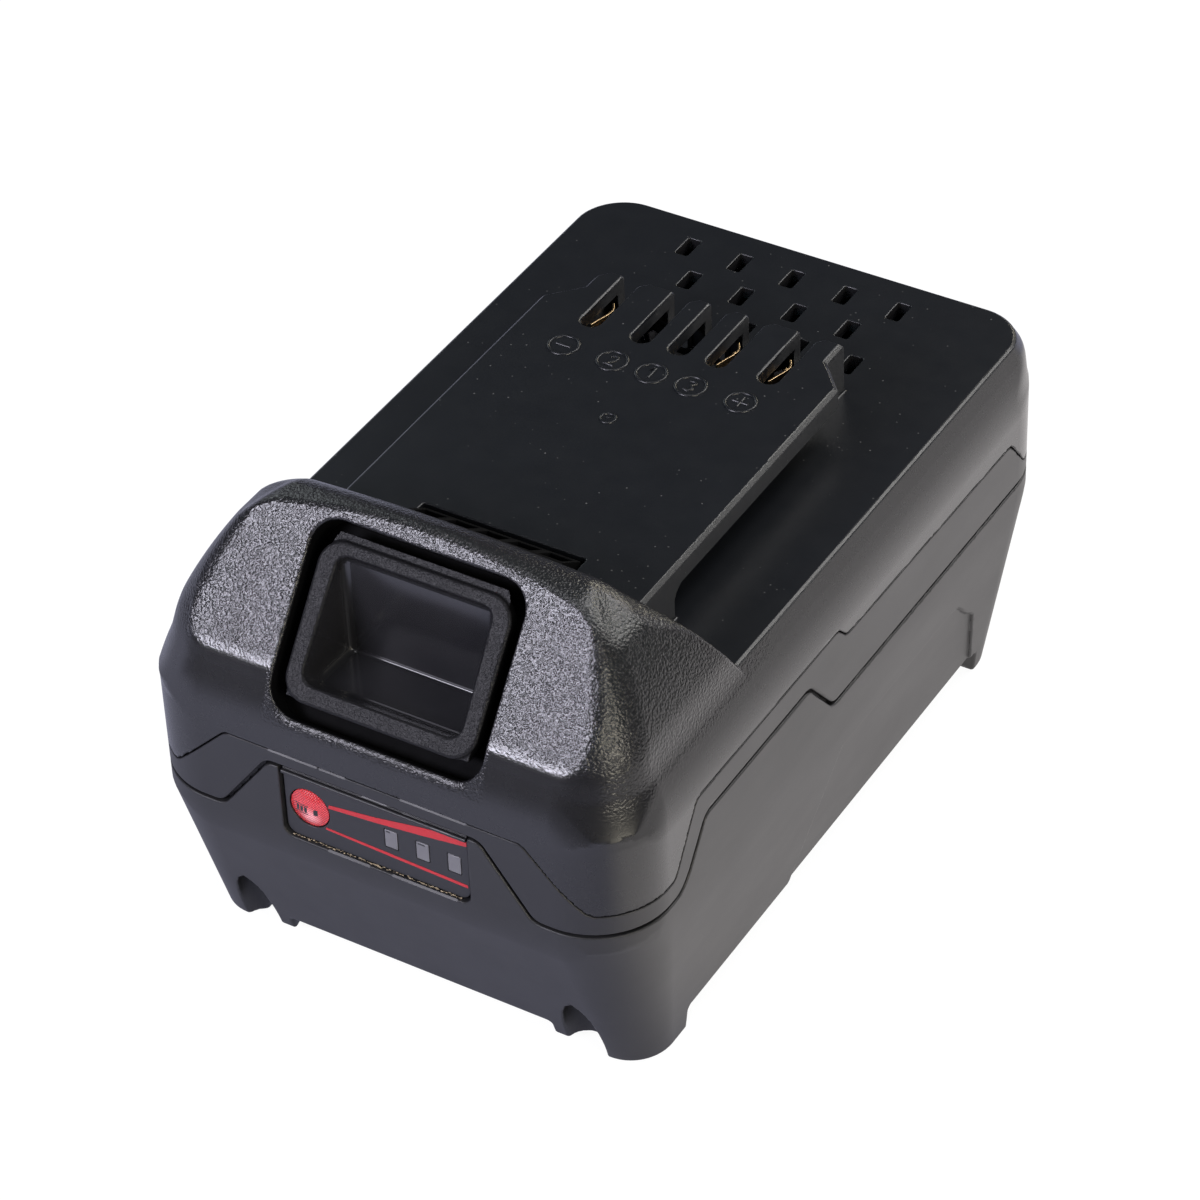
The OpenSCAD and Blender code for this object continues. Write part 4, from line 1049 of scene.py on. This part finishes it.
class PACK_OT_gauge(bpy.types.Operator):
    """Makes the gauge panel, its red stripes, the push button with its icon and the lamp windows"""

    bl_idname = "pack.gauge"
    bl_label = "Charge gauge"

    def execute(self, context):
        plate = moulded("gauge_plate", panel_form, (-15.6, -0.4, 27), (15.6, 3.8, 40.6), 0.22)
        plate.data.materials.append(film())
        settle(plate, "pack", "gauge_plastic", "gauge_panel")
        upper = [(-7.35, 35.4), (-7.2, 36.0), (0, 37.0), (7.4, 38.4), (11, 38.9)]
        upper += [(14.1, 39.0), (14.1, 38.0), (7.4, 37.0), (0, 36.1)]
        lower = [(-8.1, 31.45), (-7.9, 31.8), (0, 31.6), (13.9, 31.2), (13.9, 30.7), (0, 31.15)]
        stripes = flat_piece("gauge_stripes", [upper[::-1], lower[::-1]], 0.565, 0.605)
        stripes.data.materials.append(red_print())
        settle(stripes, "pack", "red_plastic")
        self.cap()
        self.windows()
        self.dirt()
        return {"FINISHED"}

    def cap(self):
        m = measures()
        work = bmesh.new()
        r = m.push_radius
        profile = [(r * k / 14, dome_depth(r * k / 14)) for k in range(1, 14)]
        profile += [(r - 0.06, dome_depth(r - 0.1)), (r, dome_depth(r) + 0.08), (r, 3.75)]
        profile += [(3.8, 3.8), (3.8, 4.5), (3.7, 4.55)]
        rings = [[(at * c + CAP_X, depth, at * s + CAP_Z) for c, s in circle(56)] for at, depth in profile]
        first = loft(work, rings, (-1,))[0]
        top = work.verts.new((CAP_X, 0.0, CAP_Z))
        for a, b in zip(first, first[1:] + first[:1]):
            work.faces.new((top, a, b))
        cap = as_piece("gauge_cap", work, 35)
        cap.data.materials.append(red_lens())
        settle(cap, "push", "red_plastic", "gauge_button")
        work = bmesh.new()
        bars = [(-1.75, -1.3), (-1.1, -0.65), (-0.45, 0.0), (0.95, 1.55)]
        for x0, x1 in bars:
            self.patch(work, x0, x1, -0.45, 0.5)
        self.patch(work, -1.95, 0.15, -0.72, -0.58)
        self.patch(work, -1.95, 0.15, 0.63, 0.77)
        icon = as_piece("gauge_icon", work, 35)
        icon.data.materials.append(plain("icon_black", (0.012, 0.012, 0.012, 1.0), 0.35, 900))
        settle(icon, "push", "gauge_plastic")

    def patch(self, work, x0, x1, z0, z1):
        """A small printed patch that follows the cap."""
        across = np.linspace(z0, z1, 5)
        line = [(z, 0.012) for z in across] + [(z, -0.03) for z in across[::-1]]
        rings = []
        for x in np.linspace(x0, x1, 4):
            depths = [max(0.0, dome_depth(math.hypot(x, z)) - lift) for z, lift in line]
            rings.append([(x + CAP_X, depth, z + CAP_Z) for (z, _), depth in zip(line, depths)])
        loft(work, rings)

    def windows(self):
        work = bmesh.new()
        for at in LAMP_X:
            outline = []
            for cx, cz, start in ((0.85, 1.35, 0), (-0.85, 1.35, 90), (-0.85, -1.35, 180), (0.85, -1.35, 270)):
                for k in range(4):
                    a = math.radians(start + 30 * k)
                    outline.append((cx + 0.1 * math.cos(a), cz + 0.1 * math.sin(a)))
            rings = []
            for share, y in ((0.97, 0.605), (1.0, 0.64), (1.0, 7.55)):
                rings.append([(at + x * share, y, CAP_Z + z * share) for x, z in outline])
            loft(work, rings)
        windows = as_piece("lamp_panes", work, 30)
        windows.data.materials.append(plain("lamp_grey", colour("lamp"), 0.35, 700))
        settle(windows, "pack", "lamp_plastic", "lamp_windows")
        corners = []
        for at, wide in zip(LAMP_X, (0.6, 1.1)):
            left, right = at - 0.7, at - 0.7 + wide
            corners.append([(left, 35.15), (left, 35.4), (right, 35.4), (right, 35.15)])
        marks = flat_piece("lamp_marks", corners, 0.6, 0.64)
        marks.data.materials.append(plain("lamp_dark", (0.02, 0.02, 0.021, 1.0), 0.4, 900))
        settle(marks, "pack", "gauge_plastic")

    def dirt(self):
        """Fine pale dust caught along the lower edge of the panel."""
        rng = np.random.default_rng(7)
        work = bmesh.new()
        for x in np.arange(-13.2, 12.9, 0.16):
            if rng.random() < 0.22:
                continue
            size = 0.05 + 0.11 * rng.random() ** 2
            base = np.array([x + rng.normal(0, 0.08), 0.55 + rng.normal(0, 0.05), 28.52 + rng.normal(0, 0.07)])
            grain = bmesh.ops.create_icosphere(work, subdivisions=1, radius=size)["verts"]
            for v in grain:
                spread = Vector(v.co[i] * (1.8, 0.6, 0.8)[i] for i in range(3))
                v.co = Vector(base) + spread * float(0.8 + 0.4 * rng.random())
        dust = as_piece("gauge_dust", work, 60)
        dust.data.materials.append(plain("dust_beige", (0.30, 0.24, 0.16, 1.0), 0.85, 2000, 0.4))
        settle(dust, "pack", "gauge_plastic")


class PACK_OT_contacts(bpy.types.Operator):
    """Makes the fork contacts in the terminal slots"""

    bl_idname = "pack.contacts"
    bl_label = "Contacts"

    def execute(self, context):
        metal = brushed("contact_bronze", colour("bronze"), 0.28, (0.15, 0.15, 1.0))
        groups = {
            "contact_minus": ("leaf_minus", [(SLOT_X[0], 59.5)]),
            "contact_plus": ("leaf_plus", [(SLOT_X[4], 59.5)]),
            "signal_contacts": ("leaf_signals", [(SLOT_X[1], 55.5), (SLOT_X[2], 55.5), (SLOT_X[3], 59.5)]),
        }
        for node, (name, places) in groups.items():
            work = bmesh.new()
            for at, top in places:
                self.fork(work, at, top)
            piece = as_piece(name, work, 35)
            soften(piece, 0.00006)
            piece.data.materials.append(metal)
            settle(piece, "pack", "contact_metal", node)
        return {"FINISHED"}

    def fork(self, work, at, top):
        """A bent leaf and a straight one beside it, on one foot."""
        bent = [(-0.5, 81.1), (-0.08, 82.6), (0.4, 84.2), (0.54, 85.2), (0.32, 86.1), (-0.25, 87.0)]
        straight = [(-1.08, 81.4), (-1.12, 83.4), (-0.92, 85.3), (-1.1, 87.4)]
        self.leaf(work, at, curve_between(bent, 6), top)
        self.leaf(work, at, curve_between(straight, 6), top - 2.0)
        foot = [(-1.25, 80.85), (0.7, 80.85), (0.7, 82.8), (-1.25, 82.8)]
        low, high = 49.45, min(top - 2.4, 55.0)
        loft(work, [[(at + x, y, z) for x, y in foot] for z in (low, high)])

    def leaf(self, work, at, line, top):
        """One upright leaf of sheet metal along a line."""
        ahead = unit(np.gradient(line, axis=0))
        across = np.stack([ahead[:, 1], -ahead[:, 0]], 1) * 0.14
        spots = ((1, 52.4), (1, top), (-1, top), (-1, 52.4))
        loft(work, [[(at + x + k * ox, y + k * oy, z) for k, z in spots] for (x, y), (ox, oy) in zip(line, across)])


class PACK_OT_rail_marks(bpy.types.Operator):
    """Raises the small rings and signs on the rail"""

    bl_idname = "pack.rail_marks"
    bl_label = "Rail marks"

    def execute(self, context):
        work = bmesh.new()
        signs = {
            -14.5: [[(-1.1, 0), (1.1, 0)]],
            -6.7: [[(-0.6, 0.7), (0.0, 1.15), (0.65, 0.7), (0.45, 0.1), (-0.7, -1.1), (0.75, -1.1)]],
            -0.5: [[(-0.55, 0.6), (0.1, 1.15), (0.1, -1.15)]],
            5.7: [[(-0.6, 0.9), (0.1, 1.15), (0.6, 0.65), (0.0, 0.1), (0.65, -0.55), (0.1, -1.15), (-0.65, -0.9)]],
            13.5: [[(-1.15, 0), (1.15, 0)], [(0, -1.15), (0, 1.15)]],
        }
        ring = circle(40)
        for at, lines in signs.items():
            self.bead(work, [(at + 2.15 * c, 73.7 + 2.15 * s) for c, s in ring], 0.26, True)
            for line in lines:
                self.bead(work, [(at + x, 73.7 + y) for x, y in line], 0.24, False)
        self.bead(work, [(-0.5 + 1.05 * c, 62.1 + 1.05 * s) for c, s in ring], 0.22, True)
        self.bead(work, [(-0.75, 62.1), (-0.3, 62.3)], 0.25, False)
        marks = as_piece("rail_marks", work, 50)
        marks.data.materials.append(bpy.data.materials["deck_satin"])
        settle(marks, "pack", "housing_plastic")
        return {"FINISHED"}

    def bead(self, work, points, half, closed):
        """A low half-round bead along a line on the top of the rail."""
        m = measures()
        top = m.deck_height + m.rail_height
        p = np.array(points, float)
        if closed:
            ahead = np.roll(p, -1, 0) - np.roll(p, 1, 0)
        else:
            ahead = np.gradient(p, axis=0)
        ahead = unit(ahead)
        across = np.stack([ahead[:, 1], -ahead[:, 0]], 1)
        shape = [(-1.0, -0.04), (-0.8, 0.11), (-0.35, 0.2), (0.35, 0.2), (0.8, 0.11), (1.0, -0.04)]
        rows = [[(*(q + k * half * o), top + h) for k, h in shape] for q, o in zip(p, across)]
        loft(work, rows, () if closed else (0, -1), closed)


class PACK_OT_latch_springs(bpy.types.Operator):
    """Winds the two latch springs at one fixed length; on the real pack they shorten as the button is pulled down"""

    bl_idname = "pack.latch_springs"
    bl_label = "Latch springs"

    def execute(self, context):
        low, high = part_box("latch_springs")
        wire, turns = 0.4, 4
        centre_y = (low.y + high.y) / 2 / MM + measures().body_length / 2
        radius = high.x / MM - PIN_X - wire
        start, end = low.z / MM + wire, high.z / MM - wire
        count, sides = turns * 28, 10
        work = bmesh.new()
        for at in (-PIN_X, PIN_X):
            rings = []
            for i in range(count + 1):
                turn = 2 * math.pi * turns * i / count
                rise = start + (end - start) * i / count
                ring = []
                for c, s in circle(sides):
                    out = radius + wire * c
                    ring.append((at + out * math.cos(turn), centre_y + out * math.sin(turn), rise + wire * s))
                rings.append(ring)
            loft(work, rings)
        coils = as_piece("latch_coils", work, 60)
        coils.data.materials.append(brushed("spring_wire", (0.56, 0.56, 0.57, 1.0), 0.25, (1.0, 1.0, 0.3)))
        settle(coils, "pack", "spring_steel", "latch_springs")
        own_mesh(coils)
        return {"FINISHED"}


class PACK_OT_inner_parts(bpy.types.Operator):
    """Gives the cells, boards, strips and screws inside the pack their finishes"""

    bl_idname = "pack.inner_parts"
    bl_label = "Inner parts"

    def execute(self, context):
        steel = brushed("screw_steel", (0.32, 0.32, 0.33, 1.0), 0.32, (1.0, 1.0, 0.2))
        laminate = plain("board_green", (0.012, 0.085, 0.035, 1.0), 0.35, 500, 0.15)
        fibre = plain("fibre_tan", (0.42, 0.33, 0.17, 1.0), 0.8, 1500, 0.2, 0.00002)
        holder = plain("holder_grey", (0.05, 0.052, 0.057, 1.0), 0.5, 400, 0.1)
        dark = plain("chip_black", (0.012, 0.012, 0.013, 1.0), 0.42, 800, 0.1)
        nickel = brushed("nickel_strip", (0.62, 0.60, 0.56, 1.0), 0.3, (0.2, 1.0, 1.0))
        wrap = plain("cell_wrap", (0.02, 0.22, 0.28, 1.0), 0.3, 260, 0.08)
        finishes = {
            "housing_screws": steel,
            "board_screws": steel,
            "latch_bracket": plain("bracket_grey", (0.035, 0.036, 0.04, 1.0), 0.48, 500, 0.1),
            "gauge_board": laminate,
            "main_board": laminate,
            "switch_body": dark,
            "switch_plunger": plain("plunger_ivory", (0.62, 0.57, 0.44, 1.0), 0.45, 700, 0.08),
            "gauge_lamps": plain("lamp_resin", (0.72, 0.68, 0.52, 1.0), 0.3, 900, 0.06),
            "gauge_cable": plain("cable_grey", (0.30, 0.31, 0.33, 1.0), 0.45, 900, 0.1),
            "cells_lower": wrap,
            "cells_upper": wrap,
            "cell_holder_left": holder,
            "cell_holder_right": holder,
            "nickel_strips_left": nickel,
            "nickel_strips_right": nickel,
            "end_sheets": fibre,
            "board_sheet": fibre,
            "cell_pads": plain("pad_foam", (0.07, 0.072, 0.078, 1.0), 0.9, 2500, 0.3, 0.00005),
            "power_transistors": dark,
            "control_chip": dark,
            "board_capacitors": plain("can_blue", (0.035, 0.055, 0.14, 1.0), 0.3, 500, 0.12),
            "shunt_bar": brushed("shunt_copper", (0.60, 0.36, 0.18, 1.0), 0.34, (0.2, 1.0, 1.0)),
            "thermistor": plain("bead_black", (0.015, 0.015, 0.016, 1.0), 0.3, 900, 0.1),
            "terminal_carrier": plain("carrier_black", (0.010, 0.010, 0.011, 1.0), 0.45, 600, 0.1),
        }
        for node, finish in finishes.items():
            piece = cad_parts[node]
            piece.data.materials.clear()
            piece.data.materials.append(finish)
            soften(piece, 0.00008, 40)
        return {"FINISHED"}


def lamp(name, azimuth, elevation, distance, width, height, power, tone):
    """A soft box that looks at the pack."""
    a, e = math.radians(azimuth), math.radians(elevation)
    way = Vector((math.sin(a) * math.cos(e), -math.cos(a) * math.cos(e), math.sin(e)))
    data = bpy.data.lights.new(name, "AREA")
    data.shape = "RECTANGLE"
    data.size, data.size_y = width, height
    data.energy = power
    data.color = tone
    made = placed(name, data)
    made.location = Vector((0, 0, 0.04)) + way * distance
    made.rotation_mode = "QUATERNION"
    made.rotation_quaternion = (-way).to_track_quat("-Z", "Y")


class PACK_OT_stage(bpy.types.Operator):
    """Sets the pale floor with a painted reflection for gloss, the soft studio light and the camera"""

    bl_idname = "pack.stage"
    bl_label = "Stage"

    def execute(self, context):
        self.camera()
        self.floor()
        self.surround()
        lamp("key_box", -24, 27, 0.75, 0.32, 0.19, 3.9, (0.95, 0.93, 1.08))
        lamp("high_box", -14, 39, 0.75, 0.15, 0.16, 0.45, (0.94, 0.92, 1.0))
        lamp("over_box", 0, 80, 0.9, 0.30, 0.30, 1.6, (0.95, 0.95, 1.0))
        lamp("top_box", 150, 58, 0.9, 0.30, 0.30, 2.3, (0.98, 0.97, 1.0))
        lamp("rear_box", 161, 38, 0.8, 0.20, 0.19, 0.75, (1.0, 0.98, 1.0))
        lamp("left_box", -120, 30, 0.9, 0.30, 0.30, 0.75, (0.9, 0.98, 1.0))
        lamp("right_box", 60, 38, 0.8, 0.25, 0.16, 0.65, (1.0, 0.98, 1.0))
        lamp("warm_box", 62, 20, 0.8, 0.22, 0.12, 2.1, (1.0, 0.93, 0.76))
        lamp("edge_box", 142, 32, 0.8, 0.18, 0.18, 1.6, (1.0, 0.98, 0.94))
        lamp("cream_box", 179, 20, 0.8, 0.12, 0.12, 0.8, (1.0, 0.93, 0.74))
        return {"FINISHED"}

    def camera(self):
        az, el, roll = math.radians(32.2), math.radians(39.15), math.radians(-2.35)
        back = Vector((math.sin(az) * math.cos(el), -math.cos(az) * math.cos(el), math.sin(el)))
        right = Vector((0, 0, 1)).cross(back).normalized()
        up = back.cross(right)
        turned_right = math.cos(roll) * right + math.sin(roll) * up
        turned_up = -math.sin(roll) * right + math.cos(roll) * up
        eye = Vector((0.00682, -0.01445, 0.043)) + back * 0.59785
        data = bpy.data.cameras.new("camera")
        data.lens = 133.2
        data.sensor_width = 36
        data.sensor_fit = "HORIZONTAL"
        data.clip_start = 0.01
        made = placed("camera", data)
        turn = Matrix((turned_right, turned_up, back)).transposed().to_4x4()
        made.matrix_world = Matrix.Translation(eye) @ turn
        bpy.context.scene.camera = made

    def floor(self):
        work = bmesh.new()
        bmesh.ops.create_grid(work, x_segments=8, y_segments=8, size=6.0)
        mesh = bpy.data.meshes.new("floor")
        work.to_mesh(mesh)
        work.free()
        placed("floor", mesh)
        f = Finish("floor_white_and_painted_reflection", colour("floor"), 0.9, clouds=(0.98, 1.0, 3.0, 3.0), Specular_IOR_Level=0.0)
        # Painted reflection: glossy rays see the floor glow in tinted bands by distance from the pack, dim in front
        # next to it as painted contact shade and in places brighter than white; the camera sees it evenly white.
        path = f.node("LightPath").outputs
        seen = f.maths("MAXIMUM", path["Is Camera Ray"], path["Is Glossy Ray"])
        aside = f.maths("SUBTRACT", f.axis("X"), 0.038)
        ahead = f.maths("SUBTRACT", f.maths("ABSOLUTE", f.maths("SUBTRACT", f.axis("Y"), 0.06)), 0.121)
        beside = [(0, 1.25), (0.03, 1.7), (0.07, 1.3), (0.11, 0.7), (0.2, 1.9), (0.33, 1.6), (0.42, 0.1), (1, 0.0)]
        before = [(0, 0.5), (0.03, 0.65), (0.06, 0.9), (0.11, 1.25), (0.17, 0.5), (0.21, 0.05), (0.5, 0.35), (1, 0.35)]
        near = f.mix(
            f.ramp(f.maths("SUBTRACT", ahead, aside), -0.035, 0.01),
            f.bands(aside, beside, (1.0, 0.96, 0.96)),
            f.bands(ahead, before, (0.92, 0.94, 1.26)),
        )
        painted_glow = f.node("Emission", {"Color": f.mix(path["Is Camera Ray"], near, (1.055, 1.055, 1.055, 1))})
        shares = {0: f.maths("MULTIPLY", seen, 0.9), 1: f.surface.outputs[0], 2: painted_glow.outputs[0]}
        f.feed(f.tree.nodes["Material Output"].inputs["Surface"], f.node("MixShader", shares).outputs[0])
        mesh.materials.append(f.material)

    def surround(self):
        """A dim room, white where the camera sees it."""
        world = bpy.context.scene.world or bpy.data.worlds.new("surround")
        bpy.context.scene.world = world
        world.use_nodes = True
        n = Nodes(world.node_tree)
        n.tree.nodes.clear()
        up = n.node("SeparateXYZ", {0: n.node("TexCoord").outputs["Generated"]}).outputs["Z"]
        tone = n.bands(up, [(0.0, 0.02), (0.12, 0.02), (0.4, 0.08), (1.0, 0.03)], (0.90, 0.97, 1.12))
        around, white = [n.node("Background", {"Color": c}).outputs[0] for c in (tone, (1, 1, 1, 1))]
        seen = n.node("LightPath").outputs["Is Camera Ray"]
        mix = n.node("MixShader", {0: seen, 1: around, 2: white})
        n.node("OutputWorld", {"Surface": mix.outputs[0]})
        bpy.context.scene.view_settings.view_transform = "Standard"


OPERATORS = (
    PACK_OT_upper_housing,
    PACK_OT_tray,
    PACK_OT_release_button,
    PACK_OT_gauge,
    PACK_OT_contacts,
    PACK_OT_rail_marks,
    PACK_OT_latch_springs,
    PACK_OT_inner_parts,
    PACK_OT_stage,
)


class PACK_PT_sidebar(bpy.types.Panel):
    """Sizes, colours and steps of the battery pack"""

    bl_idname = "PACK_PT_sidebar"
    bl_label = "Battery Pack"
    bl_space_type = "VIEW_3D"
    bl_region_type = "UI"
    bl_category = "Battery Pack"

    def draw(self, context):
        for title, group in (("Sizes", context.scene.pack_sizes), ("Colours", context.scene.pack_colours)):
            box = self.layout.box()
            box.label(text=title)
            for name in type(group).__annotations__:
                box.prop(group, name)
        for step in OPERATORS:
            self.layout.operator(step.bl_idname)


CLASSES = (PackSizes, PackColours, *OPERATORS, PACK_PT_sidebar)


def register():
    for made in CLASSES:
        bpy.utils.register_class(made)
    bpy.types.Scene.pack_sizes = PointerProperty(type=PackSizes)
    bpy.types.Scene.pack_colours = PointerProperty(type=PackColours)


def unregister():
    del bpy.types.Scene.pack_colours
    del bpy.types.Scene.pack_sizes
    for made in reversed(CLASSES):
        bpy.utils.unregister_class(made)


def main():
    register()
    for step in OPERATORS:
        family, name = step.bl_idname.split(".")
        getattr(getattr(bpy.ops, family), name)()


if __name__ == "__main__":
    main()
